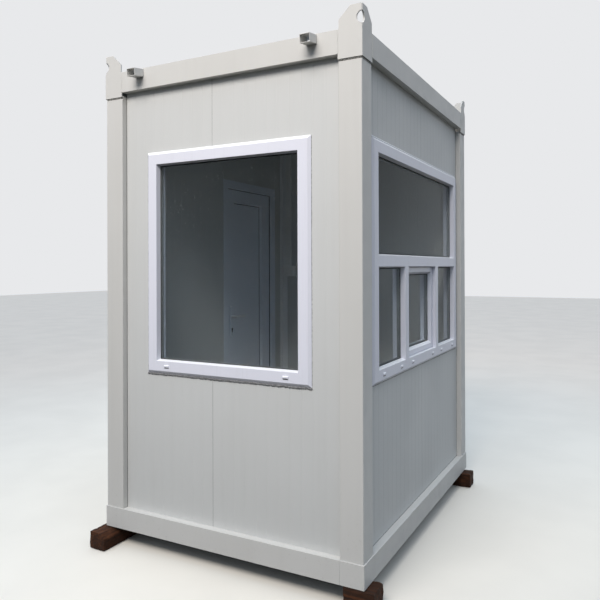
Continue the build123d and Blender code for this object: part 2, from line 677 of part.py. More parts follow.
# Drain caps on the lower rails: two on the front window, and two under each
# lower light of the ticket window
front_caps = [shift * (FRONT_WINDOW_WIDTH / 2 - CAP_INSET) for shift in (-1, 1)]
ticket_caps = []
for centre, width in (
    (-side_light_shift, side_light_width),
    (0, SASH_LIGHT_WIDTH),
    (side_light_shift, side_light_width),
):
    for sign in (-1, 1):
        ticket_caps.append(ticket_shift + centre + sign * (width / 2 - CAP_INSET + PROFILE_FACE))
with BuildPart() as drain_caps:
    for wall_plane, cap_places in ((front_plane, front_caps), (right_plane, ticket_caps)):
        with BuildSketch(wall_plane.offset(PROFILE_PROUD)):
            with Locations([(place, SILL_HEIGHT + CAP_RISE) for place in cap_places]):
                Rectangle(CAP_WIDTH, CAP_HEIGHT)
        extrude(amount=CAP_DEPTH)
    chamfer(drain_caps.faces().sort_by(Axis.Y)[:2].edges(), length=CAP_BEVEL)
    chamfer(drain_caps.faces().sort_by(Axis.X)[-6:].edges(), length=CAP_BEVEL)
save(drain_caps, "window_drain_caps")

# Door frame: jambs and head with a rebate for the leaf, open at the bottom.
# Local Z is measured outwards from the wall's inner face.
door_plane = left_plane.offset(-WALL_THICK)
frame_inner = WALL_THICK + DOOR_FRAME_PROUD - DOOR_FRAME_DEPTH
rebate_start = frame_inner + DOOR_LIP
frame_outer = WALL_THICK + DOOR_FRAME_PROUD
rebate_inset = DOOR_JAMB - DOOR_REBATE
with BuildPart() as door_frame:
    with BuildSketch(door_plane.offset(frame_inner)):
        with Locations((-door_y, floor_top)):
            Rectangle(DOOR_WIDTH, DOOR_HEIGHT, align=BOTTOM_MIDDLE)
            Rectangle(
                DOOR_WIDTH - 2 * DOOR_JAMB,
                DOOR_HEIGHT - DOOR_JAMB,
                align=BOTTOM_MIDDLE,
                mode=Mode.SUBTRACT,
            )
    extrude(amount=DOOR_FRAME_DEPTH)
    with BuildSketch(door_plane.offset(rebate_start)):
        with Locations((-door_y, floor_top)):
            Rectangle(DOOR_WIDTH - 2 * rebate_inset, DOOR_HEIGHT - rebate_inset, align=BOTTOM_MIDDLE)
    extrude(amount=frame_outer - rebate_start, mode=Mode.SUBTRACT)
save(door_frame, "door_frame")

# Threshold: aluminium sill between the jambs
with BuildPart() as door_threshold:
    with BuildSketch(door_plane.offset(frame_inner)):
        with Locations((-door_y, floor_top)):
            Rectangle(DOOR_WIDTH - 2 * DOOR_JAMB, THRESHOLD_HEIGHT, align=BOTTOM_MIDDLE)
    extrude(amount=DOOR_LIP)
    with BuildSketch(door_plane.offset(rebate_start)):
        with Locations((-door_y, floor_top)):
            Rectangle(DOOR_WIDTH - 2 * rebate_inset, THRESHOLD_HEIGHT, align=BOTTOM_MIDDLE)
    extrude(amount=frame_outer - rebate_start)
save(door_threshold, "door_threshold")

# Door leaf: stiles and rails with a lapping flange on the outside
leaf_inner = rebate_start + LEAF_BACK_GAP
leaf_outer = leaf_inner + LEAF_THICK
leaf_width = DOOR_WIDTH - 2 * rebate_inset - 2 * LEAF_SIDE_GAP
leaf_bottom = floor_top + THRESHOLD_HEIGHT + LEAF_BOTTOM_GAP
leaf_top = door_top - rebate_inset - LEAF_SIDE_GAP
leaf_height = leaf_top - leaf_bottom
lap_reach = LEAF_SIDE_GAP + LEAF_LAP
field_width = leaf_width - 2 * STILE_FACE
field_height = leaf_height - STILE_FACE - TOP_RAIL_FACE
field_middle = leaf_bottom + STILE_FACE + field_height / 2
field_depth = (LEAF_THICK - INFILL_THICK) / 2
bead_taper = degrees(atan2(BEAD_SLOPE, field_depth))
infill_width = field_width - 2 * BEAD_SLOPE + 2 * INFILL_EDGE
infill_height = field_height - 2 * BEAD_SLOPE + 2 * INFILL_EDGE
handle_local = -(door_y - leaf_width / 2 + HANDLE_INSET)
spindle_bore = (sqrt(2)) * SPINDLE_SIDE / 2 + SPINDLE_PLAY
lock_height = HANDLE_HEIGHT - LOCK_DROP
with BuildPart() as door_leaf:
    with BuildSketch(door_plane.offset(leaf_inner)):
        with Locations((-door_y, leaf_bottom)):
            Rectangle(leaf_width, leaf_height, align=BOTTOM_MIDDLE)
    extrude(amount=LEAF_THICK - LEAF_LAP_THICK)
    with BuildSketch(door_plane.offset(leaf_outer - LEAF_LAP_THICK)):
        with Locations((-door_y, leaf_bottom)):
            Rectangle(leaf_width + 2 * lap_reach, leaf_height + lap_reach, align=BOTTOM_MIDDLE)
    extrude(amount=LEAF_LAP_THICK)
    for start, inwards in ((leaf_outer, -1), (leaf_inner, 1)):
        with BuildSketch(door_plane.offset(start)):
            with Locations((-door_y, field_middle)):
                Rectangle(field_width, field_height)
        extrude(amount=inwards * field_depth, taper=bead_taper, mode=Mode.SUBTRACT)
    with BuildSketch(door_plane.offset(leaf_inner + field_depth)):
        with Locations((-door_y, field_middle)):
            Rectangle(infill_width, infill_height)
    extrude(amount=INFILL_THICK, mode=Mode.SUBTRACT)
    with BuildSketch(door_plane.offset(leaf_inner)):
        with Locations((handle_local, HANDLE_HEIGHT)):
            Circle(spindle_bore)
        with Locations((handle_local, lock_height)):
            Circle(CYLINDER_RADIUS)
            Rectangle(CYLINDER_WEB, CYLINDER_DROP, align=(Align.CENTER, Align.MAX))
    extrude(amount=LEAF_THICK, mode=Mode.SUBTRACT)
save(door_leaf, "door_leaf")

# Door infill: flat sandwich board held in the leaf's groove
with BuildPart() as door_infill:
    with BuildSketch(door_plane.offset(leaf_inner + field_depth)):
        with Locations((-door_y, field_middle)):
            Rectangle(infill_width, infill_height)
    extrude(amount=INFILL_THICK)
save(door_infill, "door_infill_panel")

# Hinges: the frame carries two knuckles and the pin, the leaf the middle
# knuckle with its wing
hinge_local = -(door_y + leaf_width / 2 + lap_reach + HINGE_SIDE)
hinge_depth = leaf_outer + HINGE_OUT
hinge_step = (leaf_height - 2 * HINGE_END) / (HINGE_COUNT - 1)
hinge_heights = [leaf_bottom + HINGE_END + step * hinge_step for step in range(HINGE_COUNT)]
hinge_half = HINGE_LEAF_KNUCKLE / 2 + HINGE_PLAY + HINGE_KNUCKLE
hinge_origin = door_plane.from_local_coords((hinge_local, 0, hinge_depth))
with BuildPart() as frame_hinges:
    for hinge_height in hinge_heights:
        with BuildSketch(door_plane.offset(frame_outer)):
            with Locations((hinge_local, hinge_height)):
                Rectangle(HINGE_BLOCK, 2 * hinge_half)
        extrude(amount=hinge_depth - frame_outer)
        with BuildSketch(Plane(origin=hinge_origin).offset(hinge_height - hinge_half)):
            Circle(HINGE_RADIUS)
        extrude(amount=2 * hinge_half)
        with BuildSketch(Plane(origin=hinge_origin).offset(hinge_height - HINGE_LEAF_KNUCKLE / 2 - HINGE_PLAY)):
            Rectangle(4 * HINGE_RADIUS, 4 * HINGE_RADIUS)
            Circle(HINGE_PIN, mode=Mode.SUBTRACT)
        extrude(amount=HINGE_LEAF_KNUCKLE + 2 * HINGE_PLAY, mode=Mode.SUBTRACT)
        with BuildSketch(door_plane.offset(frame_outer)):
            with Locations((hinge_local, hinge_height)):
                Rectangle(HINGE_FOOT, 2 * hinge_half)
        extrude(amount=HINGE_PLATE)
save(frame_hinges, "door_hinges_frame_side")

with BuildPart() as leaf_hinges:
    for hinge_height in hinge_heights:
        knuckle_plane = Plane(origin=hinge_origin).offset(hinge_height - HINGE_LEAF_KNUCKLE / 2)
        with BuildSketch(knuckle_plane):
            Circle(HINGE_RADIUS)
        extrude(amount=HINGE_LEAF_KNUCKLE)
        with BuildSketch(door_plane.offset(leaf_outer)):
            with Locations((hinge_local, hinge_height)):
                Rectangle(HINGE_WING, HINGE_LEAF_KNUCKLE, align=(Align.MIN, Align.CENTER))
        extrude(amount=HINGE_PLATE)
        with BuildSketch(knuckle_plane):
            Circle(HINGE_PIN + HINGE_PLAY)
        extrude(amount=HINGE_LEAF_KNUCKLE, mode=Mode.SUBTRACT)
save(leaf_hinges, "door_hinges_leaf_side")

# Handle plates: one on each face of the leaf
neck_bore = LEVER_RADIUS + LEVER_PLAY
with BuildPart() as handle_plates:
    for start, outwards in ((leaf_outer, 1), (leaf_inner, -1)):
        with BuildSketch(door_plane.offset(start)):
            with Locations((handle_local, HANDLE_HEIGHT - PLATE_DROP)):
                RectangleRounded(PLATE_WIDTH, PLATE_LENGTH, PLATE_WIDTH / 2 - PLATE_EDGE)
        extrude(amount=outwards * PLATE_THICK)
    chamfer(handle_plates.faces().sort_by(Axis.X)[0].edges(), length=PLATE_EDGE)
    chamfer(handle_plates.faces().sort_by(Axis.X)[-1].edges(), length=PLATE_EDGE)
    with BuildSketch(door_plane.offset(leaf_inner - PLATE_THICK)):
        with Locations((handle_local, HANDLE_HEIGHT)):
            Circle(neck_bore)
        with Locations((handle_local, lock_height)):
            Circle(CYLINDER_RADIUS)
            Rectangle(CYLINDER_WEB, CYLINDER_DROP, align=(Align.CENTER, Align.MAX))
    extrude(amount=LEAF_THICK + 2 * PLATE_THICK, mode=Mode.SUBTRACT)
save(handle_plates, "door_handle_plates")

# Lock cylinder: passes through the leaf and both plates
with BuildPart() as lock_cylinder:
    with BuildSketch(door_plane.offset(leaf_inner - PLATE_THICK - CYLINDER_PROUD)):
        with Locations((handle_local, lock_height)):
            Circle(CYLINDER_RADIUS)
            Rectangle(CYLINDER_WEB, CYLINDER_DROP, align=(Align.CENTER, Align.MAX))
    extrude(amount=LEAF_THICK + 2 * PLATE_THICK + 2 * CYLINDER_PROUD)
save(lock_cylinder, "door_lock_cylinder")

# Lever handle: two mitred levers on one square spindle. On the lever plane X
# points outwards and Y towards the hinges.
lever_origin = door_plane.from_local_coords((handle_local, HANDLE_HEIGHT, 0))
lever_plane = Plane(origin=lever_origin, x_dir=(-1, 0, 0), z_dir=(0, 0, -1))
with BuildPart() as door_handle:
    for start, outwards in ((leaf_outer, 1), (leaf_inner, -1)):
        neck_start = start + outwards * LEVER_PLAY
        neck_end = start + outwards * NECK_REACH
        with BuildLine(lever_plane) as lever_line:
            Polyline((neck_start, 0), (neck_end, 0), (neck_end, LEVER_LENGTH))
        with BuildSketch(Plane(origin=lever_line.line @ 0, z_dir=lever_line.line % 0)):
            Circle(LEVER_RADIUS)
        sweep(path=lever_line.line, transition=Transition.RIGHT)
    chamfer(door_handle.faces().sort_by(Axis.Y)[-2:].edges(), length=LEVER_END)
    with BuildSketch(door_plane.offset(leaf_inner - LEVER_PLAY)):
        with Locations((handle_local, HANDLE_HEIGHT)):
            Rectangle(SPINDLE_SIDE, SPINDLE_SIDE)
    extrude(amount=LEAF_THICK + 2 * LEVER_PLAY)
save(door_handle, "door_handle")

# Corner trims: angles over the wall joints inside the room
with BuildPart() as corner_trims:
    for corner in CORNERS:
        with BuildSketch(corner_plane(corner, wall_inset, deck_top)):
            Rectangle(TRIM_LEG, TRIM_THICK, align=BOTTOM_LEFT)
            Rectangle(TRIM_THICK, TRIM_LEG, align=BOTTOM_LEFT)
        extrude(amount=ceiling_bottom - deck_top)
save(corner_trims, "interior_corner_trims")

# Light switch: box, rocker and a cable duct up to the ceiling, on the back
# wall beside the door
box_left = -inside_x + TRIM_LEG
inner_back_plane = Plane(origin=(box_left, inside_y, BOX_BOTTOM), x_dir=(1, 0, 0), z_dir=(0, -1, 0))
with BuildPart() as switch_box:
    with BuildSketch(inner_back_plane):
        Rectangle(BOX_WIDTH, BOX_HEIGHT, align=BOTTOM_LEFT)
    extrude(amount=BOX_DEPTH)
    fillet(switch_box.faces().sort_by(Axis.Y)[0].edges(), radius=BOX_EDGE)
    with BuildSketch(inner_back_plane.offset(BOX_DEPTH)):
        with Locations((BOX_WIDTH / 2, BOX_HEIGHT / 2)):
            Rectangle(ROCKER_WIDTH, ROCKER_HEIGHT)
    extrude(amount=ROCKER_DEPTH)
    with BuildSketch(inner_back_plane):
        with Locations((0, BOX_HEIGHT)):
            Rectangle(DUCT_WIDTH, ceiling_bottom - BOX_BOTTOM - BOX_HEIGHT, align=BOTTOM_LEFT)
    extrude(amount=DUCT_DEPTH)
save(switch_box, "light_switch")
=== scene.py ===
"""The looks of the ticket office container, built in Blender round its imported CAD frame."""

import logging
import math
import random
from dataclasses import dataclass
from enum import Enum
from typing import Callable, Iterable

import bmesh
import bpy
from mathutils import Matrix, Vector


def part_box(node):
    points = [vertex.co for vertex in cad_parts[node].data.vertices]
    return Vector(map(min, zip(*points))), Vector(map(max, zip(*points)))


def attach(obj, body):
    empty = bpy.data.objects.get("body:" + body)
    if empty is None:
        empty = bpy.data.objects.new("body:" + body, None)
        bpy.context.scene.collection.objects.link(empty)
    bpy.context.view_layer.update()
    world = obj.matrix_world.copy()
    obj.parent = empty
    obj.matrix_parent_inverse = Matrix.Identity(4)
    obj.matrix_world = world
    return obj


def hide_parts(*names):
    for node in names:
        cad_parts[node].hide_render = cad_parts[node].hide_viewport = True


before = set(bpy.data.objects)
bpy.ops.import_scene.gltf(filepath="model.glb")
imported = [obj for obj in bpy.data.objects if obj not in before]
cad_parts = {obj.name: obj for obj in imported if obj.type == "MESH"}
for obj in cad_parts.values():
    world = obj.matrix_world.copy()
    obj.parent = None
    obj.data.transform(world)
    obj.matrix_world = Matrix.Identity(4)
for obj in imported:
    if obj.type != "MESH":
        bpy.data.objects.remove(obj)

log = logging.getLogger("container")
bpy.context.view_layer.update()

Span = tuple[float, float]
Point = tuple[float, float, float]
Box = tuple[Point, Point]
Light = tuple[float, float, float, float]
Colour = tuple[float, float, float]
Socket = bpy.types.NodeSocket
Piece = bpy.types.Object

CORNERS = {"front_left": (-1, -1), "front_right": (1, -1), "back_right": (1, 1), "back_left": (-1, 1)}

# A face looks along an axis from FACING on, and lies flush with its sheet from FLUSH on.
FACING = 0.9
FLUSH = 0.99
# A point that is nearer to a plane than this lies on it.
ON_PLANE = 0.000002


class Body(Enum):
    """The bodies that the pieces ride on."""

    CONTAINER = "container"
    DOOR = "door"
    HANDLE = "handle"


class Slot(Enum):
    """The material slots of the record."""

    STEEL = "painted_steel"
    SHEET = "wall_sheet"
    ZINC = "galvanised_steel"
    PLASTIC = "white_plastic"
    WHITE_METAL = "white_metal"
    GLASS = "window_glass"
    PLYWOOD = "plywood"
    ALUMINIUM = "aluminium"
    TIMBER = "timber"


class Axis(Enum):
    """A direction of the frame."""

    X = 0
    Y = 1
    Z = 2

    def vector(self) -> Vector:
        """The unit vector along this axis."""
        return Vector([float(index == self.value) for index in range(3)])


def linear(red: int, green: int, blue: int) -> Colour:
    """Turn a colour of 0 to 255 as seen on a screen into the linear one that shaders use.

    Args:
        red: Red, 0 to 255.
        green: Green, 0 to 255.
        blue: Blue, 0 to 255.

    Returns:
        The linear colour.
    """
    shares = (value / 255 for value in (red, green, blue))
    return tuple(share / 12.92 if share <= 0.04045 else ((share + 0.055) / 1.055) ** 2.4 for share in shares)


@dataclass(frozen=True)
class Pattern:
    """A cloudy pattern: fineness, octaves, their strength, stretch, and the levels that are mapped onto its ends."""

    scale: float
    detail: float = 3
    rough: float = 0.5
    stretch: Point | None = None
    levels: Span = (0.35, 0.7)
    ends: Span = (0.0, 1.0)


class Nodes:
    """A node tree, with a short call for each node that the finishes and the sky use."""

    def __init__(self, tree: bpy.types.NodeTree, output: str, place: str) -> None:
        """Empty a tree and start it anew.

        Args:
            tree: The tree.
            output: The type of its output node.
            place: The coordinates that its patterns use.
        """
        self.tree = tree
        self.tree.nodes.clear()
        self.output = self.tree.nodes.new(output)
        self.place = self.tree.nodes.new("ShaderNodeTexCoord").outputs[place]

    def node(self, kind: str, inputs: dict[str | int, object], **settings: object) -> bpy.types.Node:
        """Add a node.

        Args:
            kind: The node's type.
            inputs: A value or a socket for each input, by name or number.
            settings: The node's own settings.

        Returns:
            The node.
        """
        made = self.tree.nodes.new(kind)
        for name, value in settings.items():
            setattr(made, name, value)
        for name, value in inputs.items():
            self.feed(made.inputs[name], value)
        return made

    def feed(self, socket: Socket, value: object) -> None:
        """Give an input a value or another node's socket.

        Args:
            socket: The input.
            value: The value, where a colour may lack its opacity, or the socket.
        """
        if isinstance(value, bpy.types.NodeSocket):
            self.tree.links.new(value, socket)
        elif socket.type == "RGBA" and len(value) == 3:
            socket.default_value = (*value, 1.0)
        else:
            socket.default_value = value

    def span(self, value: Socket, levels: Span, ends: Span = (0.0, 1.0), way: str = "SMOOTHSTEP") -> Socket:
        """Map a range of values onto another, and hold it within that one.

        Args:
            value: The value.
            levels: Its range.
            ends: The results at the ends of the range.
            way: How it runs between them.

        Returns:
            The mapped value.
        """
        (low, high), (first, last) = levels, ends
        inputs = {"Value": value, "From Min": low, "From Max": high, "To Min": first, "To Max": last}
        return self.node("ShaderNodeMapRange", inputs, interpolation_type=way).outputs[0]

    def maths(self, operation: str, first: Socket | float, second: Socket | float) -> Socket:
        """Do one sum.

        Args:
            operation: The sum's name.
            first: The first value.
            second: The second value.

        Returns:
            The result.
        """
        return self.node("ShaderNodeMath", {0: first, 1: second}, operation=operation).outputs[0]

    def part(self, axis: Axis) -> Socket:
        """The place along one axis."""
        return self.node("ShaderNodeSeparateXYZ", {0: self.place}).outputs[axis.value]

    def in_view(self) -> Socket:
        """Tell the rays that make the picture from those that only carry light.

        Returns:
            1 for a ray that no dull surface has thrown back, and 0 for the others.
        """
        rays = self.node("ShaderNodeLightPath", {}).outputs
        seen = self.maths("MAXIMUM", rays["Is Camera Ray"], rays["Is Glossy Ray"])
        seen = self.maths("MAXIMUM", seen, rays["Is Transmission Ray"])
        return self.maths("MULTIPLY", seen, self.maths("LESS_THAN", rays["Diffuse Depth"], 0.5))


class Graph(Nodes):
    """The node tree of one material."""

    def __init__(self, name: str) -> None:
        """Start a material with a Principled shader.

        Args:
            name: The material's name.
        """
        self.material = bpy.data.materials.new(name)
        self.material.use_nodes = True
        super().__init__(self.material.node_tree, "ShaderNodeOutputMaterial", "Object")
        self.shader = self.tree.nodes.new("ShaderNodeBsdfPrincipled")
        self.tree.links.new(self.shader.outputs[0], self.output.inputs["Surface"])

    def mapped(self, scale: Point, turn: Point = (0, 0, 0)) -> Socket:
        """Stretch and turn the object's coordinates.

        Args:
            scale: The stretch along each axis.
            turn: The turn about each axis, in degrees.

        Returns:
            The new coordinates.
        """
        angles = tuple(math.radians(angle) for angle in turn)
        return self.node("ShaderNodeMapping", {"Vector": self.place, "Scale": scale, "Rotation": angles}).outputs[0]

    def noise(self, scale: float, detail: float = 3, rough: float = 0.5, stretch: Point | None = None) -> Socket:
        """A cloudy pattern of 0 to 1.

        Args:
            scale: Its fineness.
            detail: The number of its octaves.
            rough: The strength of the finer octaves.
            stretch: The stretch of the coordinates along each axis.

        Returns:
            The pattern.
        """
        place = self.mapped(stretch) if stretch else self.place
        inputs = {"Vector": place, "Scale": scale, "Detail": detail, "Roughness": rough}
        return self.node("ShaderNodeTexNoise", inputs).outputs[0]

    def cloud(self, look: Pattern) -> Socket:
        """A cloudy pattern that is mapped onto its ends.

        Args:
            look: The pattern's values.

        Returns:
            The pattern.
        """
        return self.span(self.noise(look.scale, look.detail, look.rough, look.stretch), look.levels, look.ends)

    def cells(self, scale: float, feature: str, place: Socket) -> Socket:
        """The distances of a cell pattern.

        Args:
            scale: Its fineness.
            feature: The distance that is taken.
            place: The coordinates.

        Returns:
            The pattern.
        """
        return self.node("ShaderNodeTexVoronoi", {"Vector": place, "Scale": scale}, feature=feature).outputs["Distance"]

    def mix(self, share: Socket | float, first: Socket | Colour, second: Socket | Colour) -> Socket:
        """Blend two colours.

        Args:
            share: How much of the second.
            first: The first colour.
            second: The second colour.

        Returns:
            The blended colour.
        """
        return self.node("ShaderNodeMix", {0: share, 6: first, 7: second}, data_type="RGBA").outputs[2]

    def dusted(self, tone: Socket | Colour, dust: Colour, *shares: Socket) -> Socket:
        """Lay dust of one colour over a tone, once for each pattern.

        Args:
            tone: The tone.
            dust: The dust's colour.
            shares: The patterns.

        Returns:
            The dusted tone.
        """
        for share in shares:
            tone = self.mix(share, tone, dust)
        return tone

    def bump(self, height: Socket, distance: float, strength: float, under: Socket | None = None) -> Socket:
        """Turn a height pattern into a relief.

        Args:
            height: The pattern.
            distance: The height of its highest point, in metres.
            strength: The relief's share.
            under: A relief that lies under this one.

        Returns:
            The relief.
        """
        inputs = {"Height": height, "Distance": distance, "Strength": strength}
        return self.node("ShaderNodeBump", {**inputs, "Normal": under} if under else inputs).outputs[0]

    def set(self, **values: object) -> None:
        """Set the Principled shader's sockets, whose names are given with _ for a space.

        Args:
            values: A value or a socket for each.
        """
        for name, value in values.items():
            self.feed(self.shader.inputs[name.replace("_", " ")], value)


@dataclass(frozen=True)
class Finish:
    """A finish of one or more pieces."""

    name: str
    slot: Slot
    colour: Colour

    def material(self) -> bpy.types.Material:
        """The finish's material, made the first time that it is asked for."""
        if self.name not in bpy.data.materials:
            self.paint(Graph(self.name))
        return bpy.data.materials[self.name]

    def paint(self, graph: Graph) -> None:
        """Build the finish's nodes.

        Args:
            graph: The new material's node tree.
        """
        raise NotImplementedError


@dataclass(frozen=True)
class SteelPaint(Finish):
    """Sprayed paint on cold-formed steel, with a faint skin, dust above and splashes below."""

    dust: Colour = linear(150, 146, 136)
    haze: Pattern = Pattern(1.7, 4, ends=(0, 0.06))
    streak: Pattern = Pattern(9, 5, 0.6, (1, 1, 0.06), (0.45, 0.8), (0, 0.07))
    splash: Pattern = Pattern(55, 4, 0.7, levels=(0.58, 0.75), ends=(0, 0.3))
    darkened_below: Span = (0.1, 0.7)
    gloss: Pattern = Pattern(14, 4, levels=(0.3, 0.75), ends=(0.38, 0.52))
    skin: float = 0.00006
    wave: float = 0.0006

    def paint(self, graph: Graph) -> None:
        """Build the paint's nodes.

        Args:
            graph: The new material's node tree.
        """
        low = graph.span(graph.part(Axis.Z), self.darkened_below, (1.0, 0.0))
        splash = graph.maths("MULTIPLY", low, graph.cloud(self.splash))
        tone = graph.dusted(self.colour, self.dust, graph.cloud(self.haze), graph.cloud(self.streak), splash)
        relief = graph.bump(graph.noise(420), self.skin, 0.6)
        wave = graph.bump(graph.noise(5, 2), self.wave, 0.35, relief)
        graph.set(Base_Color=tone, Roughness=graph.cloud(self.gloss), Normal=wave, Specular_IOR_Level=0.4)


@dataclass(frozen=True)
class WallCoating(Finish):
    """Coated sheet of a sandwich wall, with a fine embossed grain."""

    dust: Colour = linear(165, 163, 155)
    haze: Pattern = Pattern(2.3, 5)
    streak: Pattern = Pattern(16, 5, 0.6, (1, 1, 0.045), (0.45, 0.8), (0, 0.06))
    darkened_below: Span = (0.2, 1.0)
    gloss: Span = (0.42, 0.5)
    grain: float = 0.00016

    def paint(self, graph: Graph) -> None:
        """Build the coating's nodes.

        Args:
            graph: The new material's node tree.
        """
        haze = graph.cloud(self.haze)
        # Darker towards the bottom: a smooth blend of up to a tenth of the dust colour, from one metre down.
        low = graph.span(graph.part(Axis.Z), self.darkened_below, (0.1, 0.0))
        tone = graph.dusted(self.colour, self.dust, graph.maths("MULTIPLY", haze, 0.05), graph.cloud(self.streak), low)
        grit = graph.cells(520, "SMOOTH_F1", graph.mapped((1, 1, 0.7)))
        relief = graph.bump(graph.maths("ADD", grit, graph.noise(900, 2)), self.grain, 0.5)
        rough = graph.span(haze, (0, 1), self.gloss)
        graph.set(Base_Color=tone, Roughness=rough, Normal=relief, Specular_IOR_Level=0.35)


@dataclass(frozen=True)
class WindowPlastic(Finish):
    """Smooth white extruded plastic, with a painted highlight that lightens the faces that look up."""

    dirt: Colour = linear(176, 176, 172)
    painted_highlight: Colour = linear(251, 252, 255)
    streak: Pattern = Pattern(60, 4, 0.6, (1, 1, 0.05), (0.5, 0.85), (0, 0.1))
    specks: Pattern = Pattern(260, 2, levels=(0.7, 0.78), ends=(0, 0.12))
    highlight_facing: Span = (0.15, 0.5)
    gloss: Span = (0.3, 0.34)

    def paint(self, graph: Graph) -> None:
        """Build the plastic's nodes.

        Args:
            graph: The new material's node tree.
        """
        haze = graph.noise(3)
        dirt = (graph.maths("MULTIPLY", haze, 0.08), graph.cloud(self.streak), graph.cloud(self.specks))
        normal = graph.node("ShaderNodeNewGeometry", {}).outputs["Normal"]
        highlight_facing = graph.node("ShaderNodeSeparateXYZ", {0: normal}).outputs[2]
        tone = graph.dusted(self.colour, self.dirt, *dirt)
        # Painted highlight: faces that look up are blended towards a paler white, as if lit by the sky.
        tone = graph.mix(graph.span(highlight_facing, self.highlight_facing), tone, self.painted_highlight)
        relief = graph.bump(graph.noise(900, 2), 0.00001, 0.25)
        graph.set(Base_Color=tone, Roughness=graph.span(haze, (0.3, 0.7), self.gloss), Normal=relief)


@dataclass(frozen=True)
class PaneGlass(Finish):
    """Tinted pane with dust, which lets the lamp's light into the room."""

    film: Pattern = Pattern(7, 5, 0.65, levels=(0.4, 0.8), ends=(0, 0.002))
    specks: Pattern = Pattern(420, 2, levels=(0.76, 0.82), ends=(0, 0.12))
    let_in: Colour = (0.94, 0.95, 0.94)
    bend: float = 1.035

    def paint(self, graph: Graph) -> None:
        """Build the glass's nodes.

        Args:
            graph: The new material's node tree.
        """
        dirt = graph.maths("MAXIMUM", graph.cloud(self.film), graph.cloud(self.specks))
        clean = graph.maths("SUBTRACT", 1.0, dirt)
        graph.set(Base_Color=self.colour, Roughness=0.0, IOR=self.bend, Transmission_Weight=clean)
        clear = graph.node("ShaderNodeBsdfTransparent", {"Color": self.let_in}).outputs[0]
        shade = graph.node("ShaderNodeLightPath", {}).outputs["Is Shadow Ray"]
        both = graph.node("ShaderNodeMixShader", {0: shade, 1: graph.shader.outputs[0], 2: clear})
        graph.feed(graph.output.inputs["Surface"], both.outputs[0])


@dataclass(frozen=True)
class Zinc(Finish):
    """Galvanised steel with its crystal pattern."""

    dull: Colour = linear(158, 162, 166)
    rust: Colour = linear(138, 137, 132)
    stain: Pattern = Pattern(3, 5, 0.6, levels=(0.5, 0.8), ends=(0, 0.4))
    gloss: Span = (0.4, 0.5)

    def paint(self, graph: Graph) -> None:
        """Build the zinc's nodes.

        Args:
            graph: The new material's node tree.
        """
        crystal = graph.cells(70, "F1", graph.mapped((1, 1, 1), (0, 0, 30)))
        tone = graph.mix(graph.span(crystal, (0.1, 0.7)), self.colour, self.dull)
        tone = graph.mix(graph.cloud(self.stain), tone, self.rust)
        relief = graph.bump(graph.noise(200), 0.0001, 0.5)
        graph.set(Base_Color=tone, Metallic=0.5, Roughness=graph.span(crystal, (0, 0.8), self.gloss), Normal=relief)


@dataclass(frozen=True)
class Rubber(Finish):
    """Soft seal or sealant with a dull, slightly uneven skin."""

    dust: Colour = linear(120, 118, 112)
    lumps: float = 0.0003
    grime: Pattern = Pattern(40, 5, 0.65, levels=(0.4, 0.8), ends=(0, 0.45))

    def paint(self, graph: Graph) -> None:
        """Build the seal's nodes.

        Args:
            graph: The new material's node tree.
        """
        relief = graph.bump(graph.noise(240), self.lumps, 0.5)
        tone = graph.mix(graph.cloud(self.grime), self.colour, self.dust)
        graph.set(Base_Color=tone, Roughness=0.6, Normal=relief)


@dataclass(frozen=True)
class SawnTimber(Finish):
    """Old sawn timber, dark with damp, its grain along one axis."""

    pale: Colour = linear(97, 60, 39)
    damp: Colour = linear(31, 21, 16)
    along: Point = (1, 0.06, 1)
    patch: Pattern = Pattern(9, 4, ends=(0, 0.45))
    gloss: Span = (0.7, 0.9)

    def paint(self, graph: Graph) -> None:
        """Build the timber's nodes.

        Args:
            graph: The new material's node tree.
        """
        fibre = graph.noise(90, 6, 0.65, self.along)
        bands = graph.noise(18, 4, 0.6, self.along)
        tone = graph.mix(graph.span(fibre, (0.35, 0.7)), self.colour, self.pale)
        tone = graph.mix(graph.span(bands, (0.4, 0.6), (0.0, 0.6)), tone, self.colour)
        tone = graph.mix(graph.cloud(self.patch), tone, self.damp)
        relief = graph.bump(graph.maths("ADD", fibre, bands), 0.0025, 0.8)
        rough = graph.span(fibre, (0.3, 0.7), self.gloss)
        graph.set(Base_Color=tone, Roughness=rough, Normal=relief, Specular_IOR_Level=0.2)


@dataclass(frozen=True)
class DeckBoard(Finish):
    """Film-faced board of the floor, with a faint veneer and scuffs."""

    pale: Colour = linear(150, 122, 92)
    worn: Colour = linear(160, 150, 135)
    scuff: Pattern = Pattern(22, 6, 0.7, levels=(0.55, 0.75))
    gloss: Span = (0.45, 0.7)

    def paint(self, graph: Graph) -> None:
        """Build the board's nodes.

        Args:
            graph: The new material's node tree.
        """
        veneer = graph.noise(30, 6, 0.6, (1, 0.08, 1))
        scuff = graph.cloud(self.scuff)
        tone = graph.mix(graph.span(veneer, (0.3, 0.7)), self.colour, self.pale)
        tone = graph.mix(graph.maths("MULTIPLY", scuff, 0.25), tone, self.worn)
        rough = graph.span(scuff, (0, 1), self.gloss)
        graph.set(Base_Color=tone, Roughness=rough, Normal=graph.bump(veneer, 0.0004, 0.5))


@dataclass(frozen=True)
class BrushedMetal(Finish):
    """Aluminium or lacquered metal with fine lines and a soft sheen."""

    tarnish: Colour = linear(120, 120, 118)
    metallic: float = 0.9
    rough: float = 0.34
    along: Point = (1, 0.03, 1)
    haze: Pattern = Pattern(25, 4, levels=(0.4, 0.75), ends=(0, 0.2))

    def paint(self, graph: Graph) -> None:
        """Build the metal's nodes.

        Args:
            graph: The new material's node tree.
        """
        lines = graph.noise(900, 3, 0.6, self.along)
        tone = graph.mix(graph.cloud(self.haze), self.colour, self.tarnish)
        rough = graph.span(lines, (0.3, 0.7), (self.rough - 0.06, self.rough + 0.08))
        graph.set(Base_Color=tone, Metallic=self.metallic, Roughness=rough, Normal=graph.bump(lines, 0.00005, 0.4))


